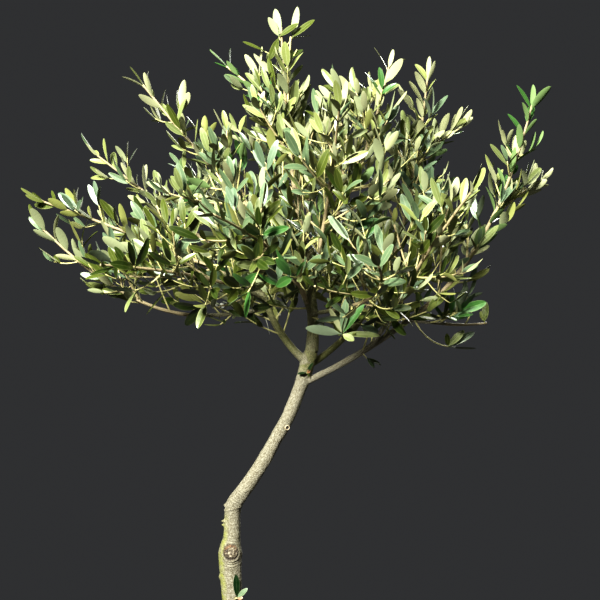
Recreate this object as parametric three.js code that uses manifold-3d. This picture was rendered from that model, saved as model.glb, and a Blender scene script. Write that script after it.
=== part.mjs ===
// Potted olive tree: a young standard olive with a bare, bent stem and a wide open crown,
// in a plain round terracotta pot.
// Units are millimetres and +Z is up. -Y is the front of the tree.
// The origin is the centre of the pot's flat underside.

import * as THREE from 'three';
import { mergeVertices } from 'three/addons/utils/BufferGeometryUtils.js';
import Module from 'manifold-3d';

const wasm = await Module();
wasm.setup();

const UP = new THREE.Vector3(0, 0, 1);
const SEED = 20260;            // changes every shoot and leaf of the crown
const GAP = 0.3;               // clear gap between two pieces that meet

// Pot and soil
const POT_HEIGHT = 300;
const POT_FOOT_RADIUS = 112;
const POT_WAIST_RADIUS = 146;  // wall just under the rim band
const POT_RIM_RADIUS = 160;
const POT_RIM_HEIGHT = 52;
const POT_WALL = 12;
const POT_FLOOR = 16;
const POT_EDGE = 4;            // rounding of the pot's edges
const POT_SIDES = 32;
const SOIL_TOP = 270;
const SOIL_CROWNING = 4;       // the soil stands a little higher round the stem
const SOIL_MOUND_RADIUS = 52;

// Trunk: [x, y, z, radius] up the middle of the stem to the fork. The foot is cut flat at the soil.
const TRUNK_SIDES = 14;
const TRUNK_ROWS = 40;
const TRUNK_STATIONS = [
  [0, 0, SOIL_TOP - 10, 36],
  [-0.5, 0, 276, 30],
  [-1.5, 0, 290, 24],
  [-3, 1, 320, 20.5],
  [-6, 2, 400, 18.5],
  [-9, 3, 500, 17.2],
  [-12.5, 3, 600, 16.5],
  [-15.5, 2, 651, 17.6],
  [-15.5, 1, 678, 19.4],       // swelling round the pruning wound
  [-13.4, 0.5, 698, 13.9],
  [-12.6, 0, 713, 13.2],
  [-11.4, -1, 744, 12.8],
  [-7.6, -2, 757, 12.5],       // sharp bend to the right
  [5.2, -3, 774, 12],
  [29.8, -4, 811, 11.2],
  [58, -5, 859, 10.8],
  [77.8, -5, 896, 10.7],
  [93.3, -4, 933, 10.8],
  [102.3, -2, 958, 11.6],
  [108, 0, 979, 12],
  [114.6, 0, 998, 11],         // fork
];
const FLARE_RIDGES = 5;        // roots that show as ridges at the foot
const FLARE_DEPTH = 0.16;
const FLARE_HEIGHT = 60;
const TRUNK_FOOT = SOIL_TOP + SOIL_CROWNING + GAP;

// Boughs: each one leaves its parent part of the way along (at), heads for a turning point (via)
// and ends at its tip. radius is [at its start, at its tip].
const BOUGH_SIDES = 6;
const BOUGH_ROWS = 5;
const BOUGHS = [
  { name: 'leader', parent: 'trunk', at: 1, radius: [10.4, 4.8],
    via: [122, 4, 1074], tip: [102, 5, 1172] },
  { name: 'bough_left', parent: 'trunk', at: 0.975, radius: [6.6, 5],
    via: [60, -6, 1018], tip: [38, -4, 1086] },
  { name: 'bough_right', parent: 'trunk', at: 0.93, radius: [5.8, 4.2],
    via: [196, -20, 990], tip: [292, -35, 1068] },
  { name: 'bough_right_rear', parent: 'trunk', at: 0.965, radius: [5.6, 4.2],
    via: [170, 40, 1010], tip: [206, 96, 1060] },
  { name: 'bough_front', parent: 'leader', at: 0.22, radius: [5, 3.8],
    via: [116, -44, 1050], tip: [104, -78, 1082] },
  { name: 'bough_back', parent: 'leader', at: 0.42, radius: [5, 3.8],
    via: [112, 54, 1092], tip: [94, 92, 1122] },
  { name: 'branch_left_low', parent: 'bough_left', at: 0.86, radius: [3.6, 3],
    via: [12, -28, 1056], tip: [-60, -46, 1056] },
  { name: 'branch_left_front', parent: 'bough_left', at: 0.95, radius: [3.6, 3],
    via: [8, -52, 1098], tip: [-28, -88, 1108] },
  { name: 'branch_left_middle', parent: 'bough_left', at: 1, radius: [4.6, 3.6],
    via: [18, 4, 1101], tip: [-26, 16, 1122] },
  { name: 'branch_left_high', parent: 'branch_left_middle', at: 0.45, radius: [3.6, 3],
    via: [-18, 42, 1140], tip: [-48, 64, 1166] },
  { name: 'branch_top_left', parent: 'leader', at: 0.7, radius: [4, 3.2],
    via: [84, -10, 1160], tip: [40, -20, 1202] },
  { name: 'branch_top_right', parent: 'leader', at: 0.84, radius: [4, 3.2],
    via: [132, -26, 1174], tip: [156, -40, 1216] },
  { name: 'branch_right_high', parent: 'bough_right_rear', at: 0.85, radius: [4, 3.2],
    via: [234, 66, 1096], tip: [252, 52, 1156] },
  { name: 'branch_right_low', parent: 'bough_right', at: 0.86, radius: [2.8, 2.4],
    via: [304, -42, 1044], tip: [332, -48, 1042] },
  { name: 'branch_right_front', parent: 'bough_right', at: 0.55, radius: [3.5, 3],
    via: [236, -66, 1052], tip: [250, -92, 1084] },
  { name: 'branch_front_right', parent: 'bough_front', at: 0.6, radius: [3.5, 3],
    via: [146, -84, 1062], tip: [176, -118, 1072] },
  { name: 'branch_front_high', parent: 'bough_front', at: 0.84, radius: [3.5, 3],
    via: [118, -92, 1116], tip: [126, -100, 1160] },
  { name: 'branch_back_right', parent: 'bough_back', at: 0.6, radius: [3.5, 3],
    via: [134, 92, 1112], tip: [166, 132, 1130] },
  { name: 'branch_back_high', parent: 'bough_back', at: 0.86, radius: [3.5, 3],
    via: [100, 98, 1152], tip: [106, 104, 1190] },
];

// Masses of foliage: each grows on from one bough's tip. tip is the end of its stem, and sprigs
// are the ends of the long side shoots that stand out of the crown's outline.
const MASSES = [
  { name: 'foliage_left_low', bough: 'branch_left_low', tip: [-286, -70, 1176], sprigs: [] },
  { name: 'foliage_left_front', bough: 'branch_left_front', tip: [-168, -232, 1128], sprigs: [] },
  { name: 'foliage_left_middle', bough: 'branch_left_middle', tip: [-310, 42, 1236], sprigs: [] },
  { name: 'foliage_left_high', bough: 'branch_left_high', tip: [-236, 116, 1316], sprigs: [] },
  { name: 'foliage_top_left', bough: 'branch_top_left', tip: [-138, -36, 1402], sprigs: [] },
  { name: 'foliage_top', bough: 'leader', tip: [67, -10, 1494],
    sprigs: [[-8, 20, 1446], [80, -22, 1476]] },
  { name: 'foliage_top_right', bough: 'branch_top_right', tip: [230, -48, 1424],
    sprigs: [[166, -20, 1412]] },
  { name: 'foliage_right_high', bough: 'branch_right_high', tip: [300, 20, 1420],
    sprigs: [[348, 60, 1356]] },
  { name: 'foliage_right', bough: 'bough_right', tip: [450, -60, 1362],
    sprigs: [[468, -20, 1262]] },
  { name: 'foliage_right_low', bough: 'branch_right_low', tip: [386, -56, 1044], sprigs: [] },
  { name: 'foliage_right_rear', bough: 'bough_right_rear', tip: [352, 222, 1190], sprigs: [] },
  { name: 'foliage_front_left', bough: 'bough_front', tip: [-10, -290, 1190], sprigs: [] },
  { name: 'foliage_right_front', bough: 'branch_right_front', tip: [330, -216, 1222], sprigs: [] },
  { name: 'foliage_front_right', bough: 'branch_front_right', tip: [204, -292, 1120], sprigs: [] },
  { name: 'foliage_front_high', bough: 'branch_front_high', tip: [150, -226, 1336], sprigs: [] },
  { name: 'foliage_back_left', bough: 'bough_back', tip: [-40, 288, 1200], sprigs: [] },
  { name: 'foliage_back_right', bough: 'branch_back_right', tip: [216, 300, 1190], sprigs: [] },
  { name: 'foliage_back_high', bough: 'branch_back_high', tip: [80, 216, 1400], sprigs: [] },
];

// Rule of growth for shoots
const STEM_HOLD = 0.4;         // part of a stem's length on which it keeps its bough's heading
const STEM_SIDES = 4;
const STEM_ROWS = 5;
const STEM_TIP_RADIUS = 1.7;
const SHOOT_SIDES = 3;
const SHOOT_ROWS = 2;
const SHOOT_SPACING = 72;      // from one pair of shoots to the next along a stem
const SHOOT_FIRST = 0.06;      // first and last places of shoots along a stem
const SHOOT_LAST = 0.86;
const SHOOT_REACH = 200;       // a shoot's length at its stem's foot
const SHOOT_REACH_AT_TIP = 70;
const SHOOT_SHORTEST = 45;
const SHOOT_ANGLE = 52;        // degrees from the stem
const SHOOT_ANGLE_SPREAD = 24;
const SHOOT_LIFT = 0.32;       // how far a shoot turns up towards the light
const SHOOT_RADIUS = 2.6;
const SHOOT_TIP_RADIUS = 1.4;
const SHOOT_SHARE = 0.62;      // a shoot is no thicker than this share of its stem
const SHOOT_SHORTENING = 0.72; // a shoot that doesn't fit is tried again at this share of its length
const SHOOT_TRIES = 4;
const SHOOT_SCATTER = 0.6;     // how much higher than its even place a shoot may stand, in spacings
const SHOOT_TURN = 0.25;       // the first pair's turn about the stem, in half turns from level
const SHOOT_TURN_SPREAD = 0.3;
const SHOOT_LENGTH_FROM = 0.75;  // a shoot's length is this share of its reach, or up to
const SHOOT_LENGTH_SPREAD = 0.45;  // this much more
const SPRIG_FROM = 0.45;       // where sprigs leave their stem

// Leaves: flat lozenges with a ridge, in opposite pairs that turn by a right angle each time.
// They stand for the olive's many small leaves, so they are larger than life.
const LEAF_LENGTH = 88;
const LEAF_WIDTH = 30;
const LEAF_THICKNESS = 1.8;
const LEAF_BELLY = 0.46;       // widest place along the leaf
const LEAF_CORNERS = [0, -1, 0, 0, 1, 0, -1, 0, 0, 1, 0, 0, 0, 0, 1];  // root, tip, two sides, ridge
const LEAF_FACES = [0, 3, 4, 3, 1, 4, 1, 2, 4, 2, 0, 4, 0, 2, 3, 1, 3, 2];
const LEAF_ROOT = 0.3;         // how far the root lies past its twig's middle, in twig radii
const LEAF_SPACING = 33;
const LEAF_STAGGER = 7;        // along the twig, between the two leaves of a pair
const LEAF_ANGLE = 56;         // degrees from the twig at its foot
const LEAF_ANGLE_AT_TIP = 34;
const LEAF_LIFT = 0.4;
const LEAF_SIZE_AT_TIP = 0.72;
const LEAF_TURN_SPREAD = 0.4;  // half turns about the twig
const END_LEAF_PLACE = 0.97;   // the one leaf at a twig's tip
const END_LEAF_ANGLE = 0.15;   // radians from the twig
const LEAF_SECOND_TRY = 0.75;  // a leaf that doesn't fit is tried once more at this size
const LEAF_TWIST = 2.2;        // radians, spread of the blade's turn about its own length
const LEAF_APART = 15;         // between the blades of two leaves
const LEAF_OFF_TWIG = 9;       // between a blade and the next twig
const LEAF_NECK = 0.2;         // first place along a leaf that has to have room
const LEAF_SHOULDER = 0.75;
const STEM_LEAVES_FROM = 0.2;
const SHOOT_LEAVES_FROM = 0.22;

// Room that each mass keeps to
const CELL_MARGIN = 2.5;       // kept from the space of the next mass
const LIMB_MARGIN = 1.5;       // kept from trunk and boughs
const SITE_COUNT = 8;          // points along a stem that claim the space round it
const CHECK_STEP = 8;          // distance between tested points along a limb or shoot

// The dome that holds the shoots' tips: it leans to the right as it rises. Its underside rises by
// this share of the distance from its middle, and droops by a smaller share to the right.
const DOME = { foot: 1012, top: 1400, radius: 306, centre: 46, lean: 100, rise: 0.21, droop: 0.09 };

// Numbers that tell the draws of chance apart: the stem, the first shoot, and what is drawn
const STEM_KEY = 0;
const FIRST_SHOOT_KEY = 10;
const DRAW = { angle: 1, place: 2, turn: 3, length: 4, twist: 5, leafTurn: 6 };
const MIX_KEY = 0x9e3779b1;
const MIX_BITS = 0x85ebca6b;

const WELD = 1e-4;             // corners closer than this are one corner
const UPRIGHT = 0.05;          // a heading whose level part is shorter than this is upright

// Colour and roughness of each material
const MATERIALS = {
  pot: { color: 0xa8694a, roughness: 0.85 },
  soil: { color: 0x3b2c22, roughness: 1 },
  bark: { color: 0x9a8f72, roughness: 0.85 },
  foliage: { color: 0x7f9068, roughness: 0.6 },
};

const parts = new THREE.Group();

// Turns a three.js geometry into a solid that can be joined and cut.
function toSolid(geometry) {
  geometry.deleteAttribute('normal');
  geometry.deleteAttribute('uv');
  const merged = mergeVertices(geometry, WELD);
  return new wasm.Manifold(new wasm.Mesh({
    numProp: 3,
    vertProperties: new Float32Array(merged.attributes.position.array),
    triVerts: new Uint32Array(merged.index.array),
  }));
}

// Turns a solid back into a three.js geometry.
function toGeometry(solid) {
  const mesh = solid.getMesh();
  const geometry = new THREE.BufferGeometry();
  geometry.setAttribute('position', new THREE.BufferAttribute(mesh.vertProperties, 3));
  geometry.setIndex(new THREE.BufferAttribute(mesh.triVerts, 1));
  geometry.computeVertexNormals();
  return geometry;
}

// The largest piece of a solid: loose scraps are dropped and sealed hollows are filled.
function largestPiece(solid) {
  return solid.decompose().reduce((a, b) => (b.volume() > a.volume() ? b : a));
}

function addPart(name, geometry, look) {
  const material = new THREE.MeshStandardMaterial({ metalness: 0, ...MATERIALS[look] });
  const mesh = new THREE.Mesh(geometry, material);
  mesh.name = name;
  parts.add(mesh);
}

// A repeatable number from 0 to 1 for a list of whole-number keys.
function chance(...keys) {
  let bits = SEED;
  for (const key of keys) {
    bits = Math.imul(bits ^ (key + 1), MIX_KEY);
    bits ^= bits >>> 15;
    bits = Math.imul(bits, MIX_BITS);
    bits ^= bits >>> 13;
  }
  return (bits >>> 0) / 2 ** 32;
}

// Round pieces: the pot and the soil in it
function potProfile() {
  const rimFoot = POT_HEIGHT - POT_RIM_HEIGHT;
  const rimInside = POT_RIM_RADIUS - POT_WALL;
  const floorInside = POT_FOOT_RADIUS - POT_WALL + POT_EDGE;
  return [
    [0, 0],
    [POT_FOOT_RADIUS - POT_EDGE, 0],
    [POT_FOOT_RADIUS, POT_EDGE],
    [POT_WAIST_RADIUS, rimFoot - POT_EDGE],
    [POT_RIM_RADIUS - POT_EDGE, rimFoot],
    [POT_RIM_RADIUS, rimFoot + POT_EDGE],
    [POT_RIM_RADIUS, POT_HEIGHT - POT_EDGE],
    [POT_RIM_RADIUS - POT_EDGE, POT_HEIGHT],
    [rimInside + POT_EDGE, POT_HEIGHT],
    [rimInside, POT_HEIGHT - POT_EDGE],
    [rimInside - POT_WALL, rimFoot - POT_WALL],
    [floorInside, POT_FLOOR],
    [0, POT_FLOOR],
  ];
}

// Radius of the pot's inside wall at a height.
function potInsideRadius(height) {
  const inside = potProfile().slice(-4, -1).reverse();
  const upper = inside.findIndex(([, z]) => z >= height);
  const [r0, z0] = inside[upper - 1];
  const [r1, z1] = inside[upper];
  return r0 + (r1 - r0) * (height - z0) / (z1 - z0);
}

// The lathe turns about Y, so its solid is stood up to turn about Z.
function turned(profile) {
  const points = profile.map(([r, z]) => new THREE.Vector2(r, z));
  return new THREE.LatheGeometry(points, POT_SIDES).rotateX(Math.PI / 2);
}

function makePot() {
  addPart('pot', turned(potProfile()), 'pot');
}

function makeSoil() {
  const foot = POT_FLOOR + GAP;
  const wallKnee = POT_HEIGHT - POT_RIM_HEIGHT - POT_WALL;
  const clear = 2 * GAP;
  const profile = [
    [0, foot],
    [potInsideRadius(foot) - clear, foot],
    [potInsideRadius(wallKnee) - clear, wallKnee],
    [potInsideRadius(SOIL_TOP) - clear, SOIL_TOP],
    [SOIL_MOUND_RADIUS, SOIL_TOP + SOIL_CROWNING],
    [0, SOIL_TOP + SOIL_CROWNING],
  ];
  addPart('soil', turned(profile), 'soil');
}

// Limbs
const limbs = new Map();

// A tapering tube: a cylinder whose rows follow a curve. extra makes it thicker and longer.
function taperedTube(limb, sides, rows, extra = 0) {
  const tube = new THREE.CylinderGeometry(1, 1, 1, sides, rows);  // a unit tube along Y
  const frames = limb.curve.computeFrenetFrames(rows);
  const corner = tube.attributes.position;
  for (let i = 0; i < corner.count; i += 1) {
    const along = corner.getY(i) + 0.5;
    const row = Math.round(along * rows);
    const point = limb.curve.getPointAt(row / rows);
    const turn = Math.atan2(corner.getZ(i), corner.getX(i));
    const isAxis = Math.hypot(corner.getX(i), corner.getZ(i)) < 0.5;
    const radius = isAxis ? 0 : limb.radiusAt(row / rows, turn) + extra;
    if (row === 0) point.addScaledVector(frames.tangents[row], -extra);
    if (row === rows) point.addScaledVector(frames.tangents[row], extra);
    point.addScaledVector(frames.normals[row], radius * Math.cos(turn));
    point.addScaledVector(frames.binormals[row], -radius * Math.sin(turn));
    corner.setXYZ(i, point.x, point.y, point.z);
  }
  return toSolid(tube);
}

// Points along a limb with its radius there, for testing what comes near it.
function checkPoints(curve, radiusAt) {
  const count = Math.max(2, Math.ceil(curve.getLength() / CHECK_STEP));
  const points = [];
  for (let i = 0; i <= count; i += 1) {
    points.push({ point: curve.getPointAt(i / count), radius: radiusAt(i / count, 0) });
  }
  return points;
}

function bezier(start, via, tip) {
  return new THREE.QuadraticBezierCurve3(start, via, tip);
}

function taper(radius) {
  return (along) => radius[0] + (radius[1] - radius[0]) * along;
}

function trunkRadiusAtHeight(height) {
  const upper = Math.max(1, TRUNK_STATIONS.findIndex((station) => station[2] >= height));
  const [, , z0, r0] = TRUNK_STATIONS[upper - 1];
  const [, , z1, r1] = TRUNK_STATIONS[upper];
  return r0 + (r1 - r0) * (height - z0) / (z1 - z0);
}

function makeTrunk() {
  const points = TRUNK_STATIONS.map(([x, y, z]) => new THREE.Vector3(x, y, z));
  const curve = new THREE.CatmullRomCurve3(points, false, 'catmullrom', 0.5);
  const [foot, fork] = [points[0].z, points.at(-1).z];
  const radiusAt = (along, turn) => {
    const height = THREE.MathUtils.clamp(curve.getPointAt(along).z, foot, fork);
    const flare = Math.max(0, 1 - (height - foot) / FLARE_HEIGHT) ** 2;
    return trunkRadiusAtHeight(height) * (1 + FLARE_DEPTH * flare * Math.cos(FLARE_RIDGES * turn));
  };
  const trunk = { name: 'trunk', curve, radiusAt, sides: TRUNK_SIDES, rows: TRUNK_ROWS };
  limbs.set('trunk', trunk);
  const ground = new THREE.BoxGeometry(SOIL_TOP, SOIL_TOP, SOIL_TOP);
  ground.translate(0, 0, TRUNK_FOOT - SOIL_TOP / 2);
  const solid = taperedTube(trunk, trunk.sides, trunk.rows).subtract(toSolid(ground));
  addPart('trunk', toGeometry(solid), 'bark');
}

// A bough starts inside its parent and is cut clear of every limb made before it.
// A bough at its parent's end starts just past the end face.
function makeBough({ name, parent, at, via, tip, radius }) {
  const start = limbs.get(parent).curve.getPointAt(at);
  if (at === 1) start.addScaledVector(limbs.get(parent).curve.getTangentAt(1), GAP);
  const curve = bezier(start, new THREE.Vector3(...via), new THREE.Vector3(...tip));
  const bough = { name, curve, radiusAt: taper(radius), sides: BOUGH_SIDES, rows: BOUGH_ROWS };
  let solid = taperedTube(bough, bough.sides, bough.rows);
  for (const earlier of limbs.values()) {
    solid = solid.subtract(taperedTube(earlier, earlier.sides, earlier.rows, GAP));
  }
  limbs.set(name, bough);
  addPart(name, toGeometry(largestPiece(solid)), 'bark');
}

// Room for the foliage
function stemOf(mass) {
  const bough = limbs.get(mass.bough);
  const heading = bough.curve.getTangentAt(1);
  const start = bough.curve.getPointAt(1).addScaledVector(heading, GAP);
  const tip = new THREE.Vector3(...mass.tip);
  const via = start.clone().addScaledVector(heading, STEM_HOLD * start.distanceTo(tip));
  return { curve: bezier(start, via, tip), radiusAt: taper([bough.radiusAt(1), STEM_TIP_RADIUS]) };
}

// Radius of a side shoot from its place on the stem to its tip.
function sideTaper(stem, along, tipRadius) {
  const thickest = Math.min(SHOOT_RADIUS, SHOOT_SHARE * stem.radiusAt(along));
  return taper([thickest, Math.min(thickest, tipRadius)]);
}

function sprigOf(stem, end) {
  const start = stem.curve.getPointAt(SPRIG_FROM);
  const heading = stem.curve.getTangentAt(SPRIG_FROM);
  const tip = new THREE.Vector3(...end);
  const via = start.clone().addScaledVector(heading, STEM_HOLD * start.distanceTo(tip));
  return { curve: bezier(start, via, tip), radiusAt: sideTaper(stem, SPRIG_FROM, STEM_TIP_RADIUS) };
}

// A point belongs to the mass whose stem or sprig is the nearest.
function nearestDistance(point, sites) {
  return Math.min(...sites.map((site) => site.distanceTo(point)));
}

function inOwnSpace(point, mass) {
  const own = nearestDistance(point, mass.sites);
  return masses.every((other) => other === mass
    || nearestDistance(point, other.sites) > own + 2 * CELL_MARGIN);
}

function isClearOfLimbs(point) {
  return limbSpheres.every((sphere) => sphere.point.distanceTo(point) > sphere.radius + LIMB_MARGIN);
}

function hasRoom(points, mass) {
  return points.every((point) => isClearOfLimbs(point) && inOwnSpace(point, mass));
}

function isInDome(point) {
  const outward = Math.hypot(point.x - DOME.centre, point.y);
  const underside = DOME.foot + DOME.rise * outward - DOME.droop * (point.x - DOME.centre);
  if (point.z < underside || point.z > DOME.top) return false;
  const rise = (point.z - DOME.foot) / (DOME.top - DOME.foot);
  const radius = DOME.radius * Math.sqrt(1 - rise * rise);
  return Math.hypot(point.x - DOME.centre - DOME.lean * rise, point.y) < radius;
}

// Two directions across a twig: one level, one above it.
function acrossTwig(tangent) {
  const level = new THREE.Vector3().crossVectors(tangent, UP);
  if (level.length() < UPRIGHT) level.set(1, 0, 0);
  level.normalize();
  const above = new THREE.Vector3().crossVectors(level, tangent).normalize();
  return { level, above };
}

// A heading that leaves a twig at an angle, turned about the twig and then lifted to the light.
function sideHeading(tangent, angle, turn, lift) {
  const { level, above } = acrossTwig(tangent);
  return new THREE.Vector3()
    .addScaledVector(tangent, Math.cos(angle))
    .addScaledVector(level, Math.sin(angle) * Math.cos(turn))
    .addScaledVector(above, Math.sin(angle) * Math.sin(turn))
    .addScaledVector(UP, lift)
    .normalize();
}

function makeShoot(stem, along, turn, length, keys) {
  const start = stem.curve.getPointAt(along);
  const degrees = SHOOT_ANGLE + SHOOT_ANGLE_SPREAD * (chance(...keys, DRAW.angle) - 0.5);
  const angle = THREE.MathUtils.degToRad(degrees);
  const heading = sideHeading(stem.curve.getTangentAt(along), angle, turn, 0);
  const lifted = heading.clone().addScaledVector(UP, SHOOT_LIFT).normalize();
  const via = start.clone().addScaledVector(heading, length / 2);
  const tip = via.clone().addScaledVector(lifted, length / 2);
  return { curve: bezier(start, via, tip), radiusAt: sideTaper(stem, along, SHOOT_TIP_RADIUS) };
}

// The longest shoot that has room, from its full length down.
function fitShoot(stem, mass, along, turn, fullLength, keys) {
  for (let attempt = 0; attempt < SHOOT_TRIES; attempt += 1) {
    const length = fullLength * SHOOT_SHORTENING ** attempt;
    if (length <= SHOOT_SHORTEST) return [];
    const shoot = makeShoot(stem, along, turn, length, keys);
    const points = checkPoints(shoot.curve, shoot.radiusAt).slice(1).map((entry) => entry.point);
    if (isInDome(points.at(-1)) && hasRoom(points, mass)) return [shoot];
  }
  return [];
}

// Pairs of shoots up a stem, each pair turned by a right angle from the one below it.
function growShoots(stem, mass) {
  const pairs = Math.max(1, Math.round(stem.curve.getLength() / SHOOT_SPACING));
  const shoots = [];
  for (let pair = 0; pair < pairs; pair += 1) {
    for (const side of [0, 1]) {
      const keys = [mass.number, STEM_KEY, pair, side];
      const place = (pair + SHOOT_SCATTER * chance(...keys, DRAW.place)) / pairs;
      const along = SHOOT_FIRST + (SHOOT_LAST - SHOOT_FIRST) * place;
      const spread = SHOOT_TURN_SPREAD * (chance(...keys, DRAW.turn) - 0.5);
      const turn = Math.PI * (pair / 2 + side + SHOOT_TURN + spread);
      const reach = SHOOT_REACH + (SHOOT_REACH_AT_TIP - SHOOT_REACH) * along;
      const share = SHOOT_LENGTH_FROM + SHOOT_LENGTH_SPREAD * chance(...keys, DRAW.length);
      shoots.push(...fitShoot(stem, mass, along, turn, reach * share, keys));
    }
  }
  return shoots;
}

// A leaf's blade: flat below, with a ridge above. Its root lies past the middle of its twig.
function makeLeaf(root, heading, blade, size) {
  const across = new THREE.Vector3().crossVectors(heading, blade).normalize();
  const leaf = new THREE.PolyhedronGeometry(LEAF_CORNERS, LEAF_FACES, 1, 0);
  const corner = leaf.attributes.position;
  for (let i = 0; i < corner.count; i += 1) {
    const end = Math.round(corner.getY(i));
    const alongLeaf = [0, LEAF_BELLY, 1][end + 1];
    const point = root.clone()
      .addScaledVector(heading, alongLeaf * LEAF_LENGTH * size)
      .addScaledVector(across, corner.getX(i) * LEAF_WIDTH * size / 2)
      .addScaledVector(blade, corner.getZ(i) * LEAF_THICKNESS);
    corner.setXYZ(i, point.x, point.y, point.z);
  }
  return leaf;
}

// Points of a leaf that have to lie in its mass's own space.
function leafPoints(root, heading, blade, size) {
  const across = new THREE.Vector3().crossVectors(heading, blade).normalize();
  const length = LEAF_LENGTH * size;
  const places = [LEAF_NECK, LEAF_BELLY, LEAF_SHOULDER, 1];
  const points = places.map((place) => root.clone().addScaledVector(heading, place * length));
  for (const side of [-0.5, 0.5]) {
    points.push(points[1].clone().addScaledVector(across, side * LEAF_WIDTH * size));
  }
  return points;
}

// Leaves don't cross each other or another twig.
function isApart(blade, twig, mass) {
  return blade.every((point) => mass.blades.every((other) => other.distanceTo(point) > LEAF_APART)
    && mass.twigs.every((other) => other.twig === twig || other.point.distanceTo(point) > LEAF_OFF_TWIG));
}

// Direction square to a blade: it faces along its twig, then turns about the leaf's own length.
function bladeFacing(tangent, heading, twist) {
  const facing = tangent.clone().addScaledVector(heading, -tangent.dot(heading));
  if (facing.length() < UPRIGHT) facing.copy(acrossTwig(heading).above);
  return facing.normalize().applyAxisAngle(heading, twist);
}

// One leaf, or none where it has no room.
function fitLeaf(twig, mass, along, angle, turn, keys) {
  const tangent = twig.curve.getTangentAt(along);
  const heading = sideHeading(tangent, angle, turn, LEAF_LIFT);
  const root = twig.curve.getPointAt(along);
  root.addScaledVector(heading, -LEAF_ROOT * twig.radiusAt(along));
  const blade = bladeFacing(tangent, heading, LEAF_TWIST * (chance(...keys, DRAW.twist) - 0.5));
  const fullSize = 1 + (LEAF_SIZE_AT_TIP - 1) * along;
  for (const size of [fullSize, fullSize * LEAF_SECOND_TRY]) {
    const points = leafPoints(root, heading, blade, size);
    const middle = points.slice(1, 4);
    if (hasRoom(points, mass) && isApart(middle, twig, mass)) {
      mass.blades.push(...middle);
      return [makeLeaf(root, heading, blade, size)];
    }
  }
  return [];
}

// One leaf at a twig's tip, and opposite pairs of leaves along it.
function growLeaves(twig, mass, from, twigKey) {
  const length = twig.curve.getLength();
  const pairs = Math.max(1, Math.round(length * (1 - from) / LEAF_SPACING));
  const endKeys = [mass.number, twigKey, pairs, 0];
  const leaves = fitLeaf(twig, mass, END_LEAF_PLACE, END_LEAF_ANGLE, 0, endKeys);
  for (let pair = 0; pair < pairs; pair += 1) {
    for (const side of [0, 1]) {
      const keys = [mass.number, twigKey, pair, side];
      const stagger = LEAF_STAGGER / length * (side - 0.5);
      const along = from + (1 - from) * (pair + 0.5) / pairs + stagger;
      const degrees = LEAF_ANGLE + (LEAF_ANGLE_AT_TIP - LEAF_ANGLE) * along;
      const spread = LEAF_TURN_SPREAD * (chance(...keys, DRAW.leafTurn) - 0.5);
      const turn = Math.PI * (pair / 2 + side + spread);
      leaves.push(...fitLeaf(twig, mass, along, THREE.MathUtils.degToRad(degrees), turn, keys));
    }
  }
  return leaves;
}

// One mass: its stem, sprigs, shoots and leaves fused into one solid
function makeMass(mass) {
  const stems = [mass.stem, ...mass.sprigs];
  const shoots = growShoots(mass.stem, mass);
  mass.blades = [];
  mass.twigs = [...stems, ...shoots].flatMap((twig) => checkPoints(twig.curve, twig.radiusAt)
    .map(({ point }) => ({ point, twig })));
  const leaves = [
    ...stems.flatMap((stem, number) => growLeaves(stem, mass, STEM_LEAVES_FROM, number)),
    ...shoots.flatMap((shoot, number) => growLeaves(shoot, mass, SHOOT_LEAVES_FROM,
      FIRST_SHOOT_KEY + number)),
  ];
  const solids = [
    taperedTube(mass.stem, STEM_SIDES, STEM_ROWS),
    ...mass.sprigs.map((sprig) => taperedTube(sprig, SHOOT_SIDES, STEM_ROWS)),
    ...shoots.map((shoot) => taperedTube(shoot, SHOOT_SIDES, SHOOT_ROWS)),
    ...leaves.map(toSolid),
  ];
  const fused = solids.reduce((joined, solid) => joined.add(solid));
  addPart(mass.name, toGeometry(largestPiece(fused)), 'foliage');
}

makePot();
makeSoil();
makeTrunk();
BOUGHS.forEach(makeBough);

const limbSpheres = [...limbs.values()].flatMap((limb) => checkPoints(limb.curve, limb.radiusAt));

const masses = MASSES.map((plan, number) => {
  const stem = stemOf(plan);
  const sprigs = plan.sprigs.map((end) => sprigOf(stem, end));
  const sites = [stem, ...sprigs].flatMap(({ curve }) => curve.getSpacedPoints(SITE_COUNT).slice(1));
  return { name: plan.name, number, stem, sprigs, sites };
});
masses.forEach(makeMass);

export default parts;
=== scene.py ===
"""Looks of the potted olive tree: bark, twigs, leaves, pot and soil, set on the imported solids.

Growth is worked out in millimetres, with the numbers and the seeded rule of the part's source,
and every mesh is made in metres. -Y is the side that the photo shows."""

import math
from collections import namedtuple
from itertools import product
from types import SimpleNamespace

import bpy
import numpy as np
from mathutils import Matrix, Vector, kdtree, noise


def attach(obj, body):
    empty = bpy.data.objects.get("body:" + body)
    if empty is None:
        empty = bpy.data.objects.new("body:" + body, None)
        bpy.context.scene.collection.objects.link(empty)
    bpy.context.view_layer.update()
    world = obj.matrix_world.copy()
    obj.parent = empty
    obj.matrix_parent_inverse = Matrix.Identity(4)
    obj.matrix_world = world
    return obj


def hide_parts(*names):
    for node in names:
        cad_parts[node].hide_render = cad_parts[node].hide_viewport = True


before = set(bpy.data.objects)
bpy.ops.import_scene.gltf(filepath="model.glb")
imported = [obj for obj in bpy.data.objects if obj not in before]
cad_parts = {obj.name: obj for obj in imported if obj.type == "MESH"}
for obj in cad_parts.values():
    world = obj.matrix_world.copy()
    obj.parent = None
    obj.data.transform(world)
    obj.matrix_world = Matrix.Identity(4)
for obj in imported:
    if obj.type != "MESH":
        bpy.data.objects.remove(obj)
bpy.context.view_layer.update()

MM = 0.001
UP = np.array([0.0, 0.0, 1.0])
FULL_TURN = 2 * math.pi
HEADING_STEP = 0.005                  # of a line's length
FAR_AWAY = 1e6
UPRIGHT = 0.05

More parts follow.
